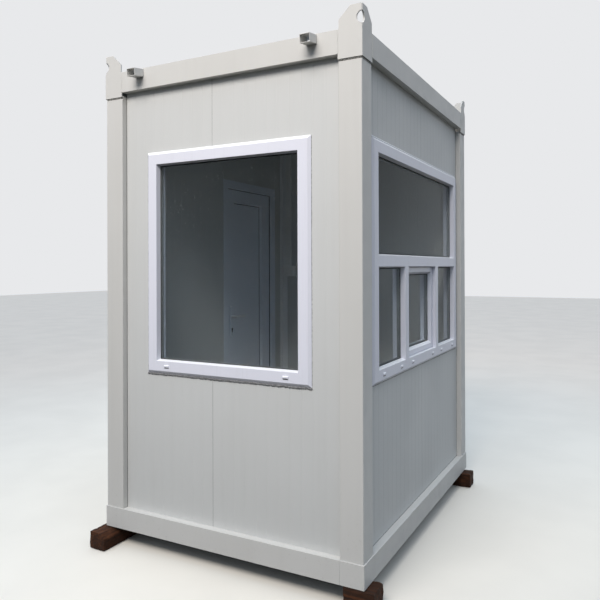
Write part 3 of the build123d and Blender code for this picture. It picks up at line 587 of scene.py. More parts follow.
@dataclass(frozen=True)
class StudioGround(Finish):
    """Plain pale ground, which looks paler than the light that it throws back."""

    seen: Colour = linear(238, 233, 222)
    far: Colour = linear(246, 233, 218)
    distances: Span = (2.0, 8.0)
    haze: Pattern = Pattern(1.5, 4, levels=(0.3, 0.7), ends=(0, 0.05))

    def paint(self, graph: Graph) -> None:
        """Build the ground's nodes.

        Args:
            graph: The new material's node tree.
        """
        away = graph.node("ShaderNodeVectorMath", {0: graph.place}, operation="LENGTH").outputs["Value"]
        pale = graph.mix(graph.span(away, self.distances), self.seen, self.far)
        tone = graph.mix(graph.cloud(self.haze), graph.mix(graph.in_view(), self.colour, pale), self.colour)
        graph.set(Base_Color=tone, Roughness=0.9, Specular_IOR_Level=0.1)


FINE_GRIME = Pattern(230, 5, 0.65, levels=(0.4, 0.8))
FINEST_GRIME = Pattern(260, 5, 0.65, levels=(0.4, 0.8))

FRAME_PAINT = SteelPaint("frame_paint", Slot.STEEL, linear(208, 207, 203))
WELD_PAINT = SteelPaint("weld_paint", Slot.STEEL, linear(176, 175, 170), skin=0.0004)
WALL_COATING = WallCoating("wall_coating", Slot.SHEET, linear(207, 208, 206))
# The ceiling is coated darker than the walls as painted shade, so that the room darkens towards its top.
CEILING_COATING_AND_PAINTED_SHADE = WallCoating("ceiling_coating_and_painted_shade", Slot.SHEET, linear(184, 186, 185), grain=0.00008)
WINDOW_WHITE = WindowPlastic("window_plastic", Slot.PLASTIC, linear(230, 231, 241))
SWITCH_WHITE = WindowPlastic("switch_plastic", Slot.PLASTIC, linear(245, 244, 240))
TRIM_WHITE = WindowPlastic("trim_plastic", Slot.SHEET, linear(245, 246, 246))
# The door's white is tinted blue and lifted as painted sky light, for the dim room behind the glass.
DOOR_WHITE_AND_PAINTED_SKY_LIGHT = WindowPlastic("door_lacquer_and_painted_sky_light", Slot.WHITE_METAL, linear(231, 237, 246))
PANE_TINT = PaneGlass("pane_glass", Slot.GLASS, (0.82, 0.85, 0.87))
SPOUT_ZINC = Zinc("galvanised_sheet", Slot.ZINC, linear(176, 180, 184))
# Black rubber of the seals; the drain slots and keyways also wear it as painted shade.
BLACK_SEAL_AND_PAINTED_SHADE = Rubber("black_seal_and_painted_shade", Slot.PLASTIC, linear(28, 29, 30))
DRIED_DROPS = Rubber("dried_drops", Slot.PLASTIC, linear(182, 186, 186), linear(214, 216, 214))
WHITE_SILICONE = Rubber("white_silicone", Slot.PLASTIC, linear(240, 241, 244), linear(214, 214, 212))
# Dark grey sealant: partly a real bead, partly painted shade that stands in for the frame's shadow on the wall below
# it.
SEALANT_AND_PAINTED_SHADE = Rubber("grey_sealant_and_painted_shade", Slot.PLASTIC, linear(92, 92, 94), linear(196, 196, 196), 0.0012, FINE_GRIME)
# A grey strip under the front window's top rail, with white specks: dust, and painted light that lifts the shaded
# soffit.
SOFFIT_DUST_AND_PAINTED_LIGHT = Rubber("soffit_dust_and_painted_light", Slot.PLASTIC, linear(140, 143, 148), linear(240, 241, 243), 0.0012, FINEST_GRIME)
PANEL_JOINT = Rubber("panel_joint", Slot.PLASTIC, linear(84, 84, 82), lumps=0.0001)
OLD_TIMBER = SawnTimber("old_timber", Slot.TIMBER, linear(40, 25, 17))
OLD_TIMBER_ACROSS = SawnTimber("old_timber_across", Slot.TIMBER, linear(40, 25, 17), along=(0.06, 1, 1))
DECK_BOARD = DeckBoard("deck_board", Slot.PLYWOOD, linear(112, 86, 62))
SPACER_FOIL = BrushedMetal("spacer_foil", Slot.ALUMINIUM, linear(150, 153, 154), metallic=0.6, rough=0.4)
SILL_ALUMINIUM = BrushedMetal("sill_aluminium", Slot.ALUMINIUM, linear(190, 192, 194))
LEVER_LACQUER = BrushedMetal("lever_lacquer", Slot.ALUMINIUM, linear(240, 241, 243), metallic=0.0)
LOCK_NICKEL = BrushedMetal("lock_nickel", Slot.ZINC, linear(96, 92, 84), metallic=0.6, rough=0.38)
SCREW_ZINC = BrushedMetal("screw_zinc", Slot.ZINC, linear(170, 172, 174), rough=0.36, along=(1, 1, 1))
GROUND = StudioGround("studio_ground", Slot.TIMBER, linear(84, 80, 72))


class Bench:
    """The work bench, where meshes are made and shaped."""

    MERGED = 0.00001
    LEVELLED = math.radians(0.4)
    ROUNDED = math.radians(30)
    LUMP_SIZES = (0.75, 1.25)
    LUMP_TWIST = 0.35
    LUMP_STRAY = 0.2
    LUMP_SMOOTH = 80

    @staticmethod
    def clear() -> None:
        """Leave edit mode with nothing selected."""
        active = bpy.context.view_layer.objects.active
        if active and active.mode != "OBJECT":
            bpy.ops.object.mode_set(mode="OBJECT")
        for piece in bpy.context.selected_objects:
            piece.select_set(False)

    @staticmethod
    def take(piece: Piece) -> None:
        """Select one piece alone."""
        Bench.clear()
        piece.select_set(True)
        bpy.context.view_layer.objects.active = piece

    @staticmethod
    def open(piece: Piece) -> None:
        """Open a piece in edit mode, with all of it selected."""
        Bench.take(piece)
        bpy.ops.object.mode_set(mode="EDIT")
        bpy.ops.mesh.select_all(action="SELECT")

    @staticmethod
    def pick(piece: Piece, kind: str, test: Callable[..., bool]) -> None:
        """Select the corners, edges or faces that pass a test, in edit mode.

        Args:
            piece: The piece, open in edit mode.
            kind: VERT, EDGE or FACE.
            test: Takes one of them.
        """
        bpy.ops.mesh.select_mode(type=kind)
        bpy.ops.mesh.select_all(action="DESELECT")
        mesh = bmesh.from_edit_mesh(piece.data)
        for element in {"VERT": mesh.verts, "EDGE": mesh.edges, "FACE": mesh.faces}[kind]:
            if test(element):
                element.select_set(True)
        mesh.select_flush_mode()
        bmesh.update_edit_mesh(piece.data)

    @staticmethod
    def apply(piece: Piece, kind: str, **settings: object) -> None:
        """Finish a piece with one modifier.

        Args:
            piece: The piece.
            kind: The modifier's type.
            settings: The modifier's settings.
        """
        Bench.take(piece)
        modifier = piece.modifiers.new("work", kind)
        for name, value in settings.items():
            setattr(modifier, name, value)
        bpy.ops.object.modifier_apply(modifier=modifier.name)

    @staticmethod
    def newest(name: str) -> Piece:
        """Name the shape that was just added, and put its place into its mesh.

        Args:
            name: The piece's name.

        Returns:
            The piece.
        """
        piece = bpy.context.object
        piece.name = name
        bpy.ops.object.transform_apply(location=True, rotation=True, scale=True)
        return piece

    @staticmethod
    def block(name: str, low: Point, high: Point) -> Piece:
        """Start a piece as a box between two corners.

        Args:
            name: The piece's name.
            low: Its lowest corner.
            high: Its highest corner.

        Returns:
            The piece.
        """
        Bench.clear()
        middle, size = (Vector(low) + Vector(high)) / 2, Vector(high) - Vector(low)
        bpy.ops.mesh.primitive_cube_add(size=1, location=middle, scale=size)
        return Bench.newest(name)

    @staticmethod
    def blocks(name: str, boxes: list[Box], edge: float) -> Piece:
        """Start a piece as one or more boxes with rounded edges.

        Args:
            name: The piece's name.
            boxes: The two corners of each box.
            edge: The width of the rounding.

        Returns:
            The piece.
        """
        return Bench.join([Bench.soften(Bench.block(name, *corners), edge) for corners in boxes])

    @staticmethod
    def ring(name: str, low: Point, high: Point, through: Axis, width: float) -> Piece:
        """Start a piece as a rectangular ring.

        Args:
            name: The piece's name.
            low: Its lowest corner.
            high: Its highest corner.
            through: The axis that its hole runs along.
            width: The width of its sides.

        Returns:
            The piece.
        """
        piece = Bench.block(name, low, high)
        Bench.open(piece)
        Bench.pick(piece, "FACE", lambda face: abs(face.normal[through.value]) > FACING)
        bpy.ops.mesh.inset(thickness=width, use_individual=True)
        bpy.ops.mesh.bridge_edge_loops()
        Bench.clear()
        return piece

    @staticmethod
    def disc(name: str, centre: Point, through: Axis, size: Span, sides: int = 20) -> Piece:
        """Start a piece as a flat round.

        Args:
            name: The piece's name.
            centre: The round's centre.
            through: The axis of the round.
            size: Its radius and its thickness.
            sides: The number of its sides.

        Returns:
            The piece.
        """
        Bench.clear()
        turn = {Axis.X: (0, math.pi / 2, 0), Axis.Y: (math.pi / 2, 0, 0), Axis.Z: (0, 0, 0)}[through]
        radius, depth = size
        bpy.ops.mesh.primitive_cylinder_add(vertices=sides, radius=radius, depth=depth, location=centre, rotation=turn)
        return Bench.newest(name)

    @staticmethod
    def from_node(node: str, name: str) -> Piece:
        """Start a piece as a merged copy of a CAD node's mesh.

        Args:
            node: The node's name.
            name: The piece's name.

        Returns:
            The piece.
        """
        piece = bpy.data.objects.new(name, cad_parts[node].data.copy())
        bpy.context.scene.collection.objects.link(piece)
        piece.data.materials.clear()
        Bench.open(piece)
        bpy.ops.mesh.customdata_custom_splitnormals_clear()
        bpy.ops.mesh.remove_doubles(threshold=Bench.MERGED)
        bpy.ops.mesh.dissolve_limited(angle_limit=Bench.LEVELLED)
        Bench.clear()
        return piece

    @staticmethod
    def cut(where: Vector, across: Vector) -> None:
        """Cut the open mesh by a plane.

        Args:
            where: A point of the plane.
            across: The plane's normal.
        """
        bpy.ops.mesh.select_all(action="SELECT")
        bpy.ops.mesh.bisect(plane_co=where, plane_no=across)

    @staticmethod
    def groove(piece: Piece, where: Vector, across: Vector, size: Span, test: Callable[[Vector], bool]) -> None:
        """Scratch a fine line into a piece along a plane.

        Args:
            piece: The piece.
            where: A point of the plane.
            across: The plane's normal.
            size: The line's width and depth.
            test: Takes a point of the line, and says whether it is scratched there.
        """
        width, depth = size
        across = across.normalized()

        def on_plane(place: Vector) -> bool:
            """Whether a point lies on the plane."""
            return abs((place - where).dot(across)) < ON_PLANE

        def on_line(edge: bmesh.types.BMEdge) -> bool:
            """Whether an edge is part of the line."""
            first, last = (corner.co for corner in edge.verts)
            return on_plane(first) and on_plane(last) and test((first + last) / 2)

        Bench.open(piece)
        Bench.cut(where, across)
        Bench.pick(piece, "EDGE", on_line)
        bpy.ops.mesh.bevel(offset=width / 2, segments=2, affect="EDGES", clamp_overlap=True)
        Bench.pick(piece, "VERT", lambda corner: on_plane(corner.co) and test(corner.co))
        bpy.ops.transform.shrink_fatten(value=-depth)
        Bench.clear()

    @staticmethod
    def twin(piece: Piece, change: Matrix) -> Piece:
        """Copy a piece.

        Args:
            piece: The piece.
            change: How the copy's mesh differs.

        Returns:
            The copy.
        """
        other = bpy.data.objects.new(piece.name, piece.data.copy())
        bpy.context.scene.collection.objects.link(other)
        other.data.transform(change)
        return other

    @staticmethod
    def bead(name: str, start: Vector, end: Vector, out: Vector, lump: Point, seed: int, step: float) -> Piece:
        """Lay a bead of weld or sealant as a row of lumps.

        Args:
            name: The piece's name.
            start: The start of the row.
            end: The end of the row.
            out: The direction that the lumps bulge in.
            lump: Half of a lump's length, width and height.
            seed: The row's own pattern.
            step: The distance of two lumps, in lump lengths.

        Returns:
            The piece.
        """
        chance = random.Random(seed)
        along = (end - start).normalized()
        side = out.cross(along).normalized()
        row_axes = Matrix((along, side, out.normalized())).transposed()
        Bench.clear()
        bpy.ops.mesh.primitive_uv_sphere_add(segments=8, ring_count=5, radius=1, location=(0, 0, 0))
        first = bpy.context.object
        first.name = name
        Bench.open(first)
        bpy.ops.transform.resize(value=lump)
        Bench.clear()
        count = max(2, round((end - start).length / (2 * lump[0] * step)))
        row = []
        for index in range(count):
            sizes = [chance.uniform(*Bench.LUMP_SIZES) for _ in range(3)]
            twist = Matrix.Rotation(chance.uniform(-Bench.LUMP_TWIST, Bench.LUMP_TWIST), 3, "Z")
            stray = side * chance.uniform(-Bench.LUMP_STRAY, Bench.LUMP_STRAY) * lump[1]
            place = start.lerp(end, (index + 0.5) / count) + stray
            turned = row_axes @ twist @ Matrix.Diagonal(sizes)
            row.append(Bench.twin(first, Matrix.Translation(place) @ turned.to_4x4()))
        bpy.data.objects.remove(first)
        return Bench.join(row)

    @staticmethod
    def soften(piece: Piece, width: float, segments: int = 1) -> Piece:
        """Round a piece's edges.

        Args:
            piece: The piece.
            width: The width of the rounding.
            segments: The number of its steps.

        Returns:
            The piece.
        """
        limits = {"limit_method": "ANGLE", "angle_limit": Bench.ROUNDED, "harden_normals": False}
        Bench.apply(piece, "BEVEL", width=width, segments=segments, **limits)
        return piece

    @staticmethod
    def join(pieces: list[Piece]) -> Piece:
        """Join pieces into the first.

        Args:
            pieces: The pieces.

        Returns:
            The first piece.
        """
        Bench.take(pieces[0])
        for piece in pieces[1:]:
            piece.select_set(True)
        if len(pieces) > 1:
            bpy.ops.object.join()
        return pieces[0]

    @staticmethod
    def dress(
        piece: Piece, finish: Finish, body: Body = Body.CONTAINER, nodes: Iterable[str] = (), angle: float = 35
    ) -> None:
        """Give a finished piece its material and its body, and hide the CAD nodes that it stands for.

        Args:
            piece: The piece.
            finish: Its finish.
            body: The body that it rides on.
            nodes: The CAD nodes that it replaces.
            angle: Edges sharper than this stay sharp, in degrees.
        """
        Bench.take(piece)
        bpy.ops.object.shade_smooth_by_angle(angle=math.radians(angle))
        Bench.apply(piece, "WEIGHTED_NORMAL", weight=80, keep_sharp=True)
        piece.data.materials.clear()
        piece.data.materials.append(finish.material())
        Bench.clear()
        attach(piece, body.value)
        if nodes:
            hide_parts(*nodes)

    @staticmethod
    def carry(node: str, name: str, finish: Finish, edge: float = 0.0, body: Body = Body.CONTAINER) -> None:
        """Carry a CAD node over as a finished piece.

        Args:
            node: The node's name.
            name: The piece's name.
            finish: Its finish.
            edge: The width of its rounded edges, or 0 to leave them sharp.
            body: The body that it rides on.
        """
        piece = Bench.from_node(node, name)
        if edge:
            Bench.soften(piece, edge, 2)
        Bench.dress(piece, finish, body, [node])


@dataclass
class SteelFrame:
    """Corner posts, floor and roof beams, corner boxes with their lugs, and the welds between them."""

    edge: float = 0.0016
    bay: Span = (0.675, 0.875)
    outer: Span = (0.8, 1.0)
    wall: float = 0.001
    roof_levels: Span = (2.587, 2.698)
    lug_level: float = 2.7
    lug_line: Span = (0.003, 0.0008)
    head_plate: float = 2.5555
    plate_inset: float = 0.008
    plate_run: float = 0.106
    seam_lump: Point = (0.0044, 0.0036, 0.0018)
    seam_step: float = 0.6
    plate_lump: Point = (0.0066, 0.0040, 0.0048)
    plate_step: float = 0.7
    plate_seed: int = 50

    def build(self) -> None:
        """Build all of the frame."""
        nodes = [f"{kind}_{place}" for place in CORNERS for kind in ("corner_post", "floor_corner", "roof_corner")]
        sides = ("front", "right", "back", "left")
        nodes += [f"{kind}_{side}" for side in sides for kind in ("floor_beam", "roof_beam")]
        nodes.append("floor_joists")
        for node in nodes:
            self.steel(node)
        self.seam_welds()
        self.plate_welds()

    def steel(self, node: str) -> None:
        """Round the edges of one steel node and paint it.

        Args:
            node: The node's name.
        """
        piece = Bench.soften(Bench.from_node(node, f"painted_{node}"), self.edge, 2)
        if node.startswith("roof_corner"):
            across, back = (reach - self.wall for reach in self.outer)
            level = Vector((0, 0, self.lug_level))
            Bench.groove(
                piece, level, Axis.Z.vector(), self.lug_line, lambda point: abs(point.x) > across or abs(point.y) > back
            )
        Bench.dress(piece, FRAME_PAINT, nodes=[node])

    def seam_welds(self) -> None:
        """Lay the weld seams between the roof beams and the corner boxes."""
        low, high = self.roof_levels
        beads = []
        for index, (right, back) in enumerate(CORNERS.values()):
            on_front = Vector((right * self.bay[0], back * self.outer[1], 0))
            on_side = Vector((right * self.outer[0], back * self.bay[1], 0))
            for turn, (place, out) in enumerate(((on_front, Vector((0, back, 0))), (on_side, Vector((right, 0, 0))))):
                ends = [place + Vector((0, 0, level)) for level in (low, high)]
                beads.append(Bench.bead("seam_welds", *ends, out, self.seam_lump, 10 * index + turn, self.seam_step))
        Bench.dress(Bench.join(beads), FRAME_PAINT, angle=Bench.LUMP_SMOOTH)

    def plate_welds(self) -> None:
        """Lay the rough welds round the head plates, between the posts and the roof corners."""
        beads = []
        across, deep = (reach - self.plate_inset for reach in self.outer)
        for index, (right, back) in enumerate(CORNERS.values()):
            corner = Vector((right * across, back * deep, self.head_plate))
            on_front, on_side = Vector((0, back, 0)), Vector((right, 0, 0))
            for turn, (inwards, out) in enumerate(((on_side, on_front), (on_front, on_side))):
                end, seed = corner - inwards * self.plate_run, self.plate_seed + 10 * index + turn
                beads.append(Bench.bead("plate_welds", corner, end, out, self.plate_lump, seed, self.plate_step))
        Bench.dress(Bench.join(beads), WELD_PAINT, angle=Bench.LUMP_SMOOTH)


@dataclass
class TimberFeet:
    """Rough timber blocks under the corners."""

    edge: float = 0.009
    cell: float = 0.006
    warp: Span = (0.12, 0.008)
    rough: Span = (0.025, 0.008)
    wear: float = 0.3

    def build(self) -> None:
        """Build the blocks."""
        for seed, place in enumerate(CORNERS):
            self.block(f"timber_block_{place}", seed)

    def block(self, node: str, seed: int) -> None:
        """Build one block from its node, split and worn, and stretch it back to the node's box.

        Args:
            node: The node's name.
            seed: Its own pattern.
        """
        low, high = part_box(node)
        piece = Bench.soften(Bench.from_node(node, node.replace("timber_block", "sawn_block")), self.edge, 2)
        Bench.apply(piece, "REMESH", mode="VOXEL", voxel_size=self.cell)
        for kind, (scale, depth) in (("warp", self.warp), ("sawn", self.rough)):
            texture = bpy.data.textures.new(f"{kind}_{seed}", "CLOUDS")
            texture.noise_scale = scale
            Bench.apply(piece, "DISPLACE", texture=texture, strength=depth, mid_level=1.0, texture_coords="GLOBAL")
        Bench.open(piece)
        bpy.ops.mesh.vertices_smooth(factor=self.wear)
        Bench.clear()
        size = high - low
        corners = [corner.co for corner in piece.data.vertices]
        first, last = (Vector(most(corner[axis] for corner in corners) for axis in range(3)) for most in (min, max))
        stretch = [size[axis] / (last - first)[axis] for axis in range(3)]
        Bench.open(piece)
        bpy.ops.transform.translate(value=(low + high - first - last) / 2)
        bpy.ops.transform.resize(value=stretch, center_override=(low + high) / 2)
        Bench.clear()
        Bench.dress(piece, OLD_TIMBER if size.y > size.x else OLD_TIMBER_ACROSS, nodes=[node], angle=60)


@dataclass
class WallPanels:
    """Sandwich walls with rolled lines in their sheets, and the dark joints between them."""

    pitch: float = 0.0667
    line: float = 0.003
    slope: float = 0.004
    depth: float = 0.0014
    margin: float = 0.02
    edge: float = 0.0022
    front_joint: float = -0.075
    side_joint: float = 0.028
    faces: Span = (0.96, 0.76)
    post: Span = (0.675, 0.875)
    levels: Span = (0.2155, 2.5845)
    window_levels: Span = (1.0, 2.23)
    doorway: Span = (0.04, 0.77)
    joint_half: float = 0.0013
    joint_depths: Span = (0.0008, 0.0022)
    gap_half: float = 0.0014
    gap_depth: float = 0.0004
    foot: float = 0.0022
    strip_edge: float = 0.0002

    def build(self) -> None:
        """Build all walls."""
        front = [f"{side}_wall_{half}" for side in ("front", "back") for half in ("left", "right")]
        sides = [f"{side}_wall_{half}" for side in ("right", "left") for half in ("front", "back")]
        sides.append("left_wall_over_door")
        for node in front:
            self.panel(node, Axis.X, Axis.Y, self.front_joint)
        for node in sides:
            self.panel(node, Axis.Y, Axis.X, self.side_joint)
        self.joints()

    def joints(self) -> None:
        """Lay the dark joints between the panels, beside the posts and at the foot of the side walls."""
        low, high = self.levels
        sill, head = self.window_levels
        front, side = self.faces
        near, deep = self.joint_depths
        left, right = self.front_joint - self.joint_half, self.front_joint + self.joint_half
        ahead, behind = self.side_joint - self.joint_half, self.side_joint + self.joint_half
        strips = []
        for bottom, top in ((low, sill), (head, high)):
            strips.append(((left, near - front, bottom), (right, deep - front, top)))
            strips.append(((side - deep, ahead, bottom), (side - near, behind, top)))
        strips.append(((left, front - deep, low), (right, front - near, high)))
        for sign in (-1, 1):
            for back in (-1, 1):
                x, y = sign * (self.post[0] - self.gap_half), back * front
                strips.append(self.gap(x, y, self.gap_half, self.gap_depth))
                x, y = sign * side, back * (self.post[1] - self.gap_half)
                strips.append(self.gap(x, y, self.gap_depth, self.gap_half))
        post = self.post[1]
        for x, start, end in ((side, -post, post), (-side, -post, self.doorway[0]), (-side, self.doorway[1], post)):
            strips.append(((x - self.gap_depth, start, low), (x + self.gap_depth, end, low + self.foot)))
        Bench.dress(Bench.blocks("panel_joints", strips, self.strip_edge), PANEL_JOINT)

    def gap(self, x: float, y: float, wide: float, deep: float) -> Box:
        """The corners of an upright strip, given its middle and half its size."""
        return (x - wide, y - deep, self.levels[0]), (x + wide, y + deep, self.levels[1])

    def panel(self, node: str, along: Axis, through: Axis, start: float) -> None:
        """Build one panel with its lines.

        Args:
            node: The panel's node.
            along: The axis that the wall runs along.
            through: The axis through the wall.
            start: The joint that the lines are counted from.
        """
        low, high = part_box(node)
        piece = Bench.soften(Bench.from_node(node, node.replace("wall", "panel")), self.edge, 2)
        first = math.ceil((low[along.value] + self.margin - start) / self.pitch)
        last = math.floor((high[along.value] - self.margin - start) / self.pitch)
        lines = [start + self.pitch * step for step in range(first, last + 1) if step]
        Bench.open(piece)
        across = along.vector()
        for place in lines:
            for reach in (-self.line - self.slope, -self.line, self.line, self.line + self.slope):
                Bench.cut(across * (place + reach), across)
        for side in (-1, 1):
            normal = through.vector() * side

            def in_line(face: bmesh.types.BMFace) -> bool:
                """Whether a face is the bottom of a rolled line."""
                middle = face.calc_center_median()[along.value]
                return face.normal.dot(normal) > FLUSH and any(abs(middle - place) < self.line for place in lines)

            Bench.pick(piece, "FACE", in_line)
            bpy.ops.transform.translate(value=normal * -self.depth)
        Bench.clear()
        Bench.dress(piece, WALL_COATING, nodes=[node], angle=40)


@dataclass
class PlasticWindow:
    """What both windows share: rounded plastic, panes with spacers and seals."""

    through: Axis
    outside: float
    edge: float = 0.002
    rail: float = 0.0705
    mitre: Span = (0.003, 0.0009)
    rebate: float = 0.004
    sheet: float = 0.004
    sheet_edge: float = 0.0005
    spacer: float = 0.012
    seal: float = 0.0045
    seal_edge: float = 0.0015
    proud: float = 0.0025
    sealant_drop: float = 0.0
    sealant_lump: Point = (0.007, 0.0035, 0.003)
    side_lump: Point = (0.009, 0.0018, 0.0015)
    sealant_seed: int = 100
    sealant_step: float = 0.6

    def corner(self, across: float, height: float, depth: float) -> Point:
        """A point of the window's plane, given its place along the wall, above the ground and through the wall."""
        return (depth, across, height) if self.through is Axis.X else (across, depth, height)

    def profile(self, node: str, face: float) -> None:
        """Round the edges of one plastic node and scratch the mitres of its corners.

        Args:
            node: The node's name.
            face: The width of its rails.
        """
        low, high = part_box(node)
        piece = Bench.soften(Bench.from_node(node, f"moulded_{node}"), self.edge, 3)
        across = 1 if self.through is Axis.X else 0
        for side, edge in ((1, low), (-1, high)):
            for up, height in ((1, low.z), (-1, high.z)):
                corner = Vector(self.corner(edge[across], height, self.outside))
                normal = Vector(self.corner(side, -up, 0))

                def near(point: Vector) -> bool:
                    """Whether a point is at this corner."""
                    return abs(point[across] - corner[across]) < face and abs(point.z - corner.z) < face

                Bench.groove(piece, corner, normal, self.mitre, near)
        Bench.dress(piece, WINDOW_WHITE, nodes=[node])

    def sealant(self, node: str, wall: float) -> None:
        """Lay the bead of sealant under and beside a window's frame; its dark grey is partly painted shade of the frame
        on the wall.

        Args:
            node: The frame's node.
            wall: The wall's outer face.
        """
        low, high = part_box(node)
        low.z -= self.sealant_drop
        across = 1 if self.through is Axis.X else 0
        out = self.through.vector() * math.copysign(1, self.outside)
        left, right = low[across], high[across]
        places = [(left, high.z), (left, low.z), (right, low.z), (right, high.z)]
        points = [Vector(self.corner(*place, wall)) for place in places]
        lumps = (self.side_lump, self.sealant_lump, self.side_lump)
        beads = []
        for index, (first, second, lump) in enumerate(zip(points, points[1:], lumps)):
            seed = self.sealant_seed + index
            beads.append(Bench.bead(f"{node}_sealant", first, second, out, lump, seed, self.sealant_step))
        Bench.dress(Bench.join(beads), SEALANT_AND_PAINTED_SHADE, angle=Bench.LUMP_SMOOTH)

    def pane(self, name: str, light: Light, face: float, back: float) -> list[Piece]:
        """Build the two sheets of a pane, its spacer and its seals.

        Args:
            name: The pane's name.
            light: The light's edges: low and high across, low and high up.
            face: The outer face of the outer sheet.
            back: The inner face of the inner sheet.

        Returns:
            The sheets, the spacer and the seals.
        """
        left, right, low, high = light
        into = math.copysign(self.sheet, back - face)
        proud = math.copysign(self.proud, face - back)

        def slab(first: float, second: float, reach: float = 0.0) -> Box:
            """The corners of a slab round the light."""
            first, second = sorted((first, second))
            lowest = self.corner(left - reach, low - reach, first)
            return lowest, self.corner(right + reach, high + reach, second)

        ends = ((face, face + into), (back - into, back))
        sheets = Bench.blocks(f"{name}_sheet", [slab(*end, self.rebate) for end in ends], self.sheet_edge)
        spacer = Bench.ring(f"{name}_spacer", *slab(face + into, back - into), self.through, self.spacer)
        seals = []
        for start, end in ((face, face + proud), (back, back - proud)):
            seal = Bench.ring(f"{name}_seal", *slab(start, end), self.through, self.seal)
            seals.append(Bench.soften(seal, self.seal_edge, 2))
        return [sheets, spacer, Bench.join(seals)]

    def glaze(self, node: str, panes: list[tuple[Light, float, float]]) -> None:
        """Build all panes of one glass node.

        Args:
            node: The glass node.
            panes: The light's edges, the outer and the inner face of each pane.
        """
        made = [self.pane(node, *pane) for pane in panes]
        sheets, spacers, seals = (Bench.join([pane[index] for pane in made]) for index in range(3))
        sheets.name, spacers.name, seals.name = f"{node}_sheets", f"{node}_spacers", f"{node}_seals"
        Bench.dress(sheets, PANE_TINT, nodes=[node])
        Bench.dress(spacers, SPACER_FOIL)
        Bench.dress(seals, BLACK_SEAL_AND_PAINTED_SHADE)


@dataclass
class FrontWindow(PlasticWindow):
    """The large fixed light of the front wall."""

    through: Axis = Axis.Y
    outside: float = -0.974
    wall: float = -0.96
    light: Light = (-0.445, 0.445, 1.07, 2.16)
    faces: Span = (-0.946, -0.922)
    soffit: Box = ((-0.441, -0.971, 2.1572), (0.441, -0.9505, 2.1602))
    soffit_edge: float = 0.0006
    sealant_drop: float = 0.0045
    sealant_lump: Point = (0.009, 0.0068, 0.006)
    drop_count: int = 260
    drop_seed: int = 7
    drop_crowding: float = 1.25
    drop_margin: float = 0.03
    drop_fall: Point = (0.06, 0.22, 0.25)
    drop_floor: float = 0.1
    drop_sizes: Span = (0.0009, 0.0021)
    drop_depths: Span = (0.0001, 0.0004)
    drop_sag: float = 1.2

    def build(self) -> None:
        """Build the window."""
        self.profile("front_window_frame", self.rail)
        self.sealant("front_window_frame", self.wall)
        Bench.dress(Bench.blocks("soffit_dust_and_painted_light", [self.soffit], self.soffit_edge), SOFFIT_DUST_AND_PAINTED_LIGHT)
        self.drops()
        self.glaze("front_window_glass", [(self.light, *self.faces)])

    def drops(self) -> None:
        """Scatter dried drops on the pane, most of them towards its upper corner."""
        chance = random.Random(self.drop_seed)
        left, right, bottom, top = self.light
        start, middle, spread = self.drop_fall
        lift, thick = self.drop_depths
        Bench.clear()
        bpy.ops.mesh.primitive_ico_sphere_add(subdivisions=1, radius=1, location=(0, 0, 0))
        first = bpy.context.object
        first.name = "dried_drops"
        row = []
        for _ in range(self.drop_count):
            share = chance.random() ** self.drop_crowding
            across = left + self.drop_margin + (right - left - 2 * self.drop_margin) * share
            height = top - start - (top - bottom - self.drop_floor) * abs(chance.gauss(middle, spread)) % 1
            size = chance.uniform(*self.drop_sizes)
            change = Matrix.Diagonal((size, thick, size * self.drop_sag, 1))
            row.append(Bench.twin(first, Matrix.Translation((across, self.faces[0] - lift, height)) @ change))
        bpy.data.objects.remove(first)
        Bench.dress(Bench.join(row), DRIED_DROPS, angle=Bench.LUMP_SMOOTH)


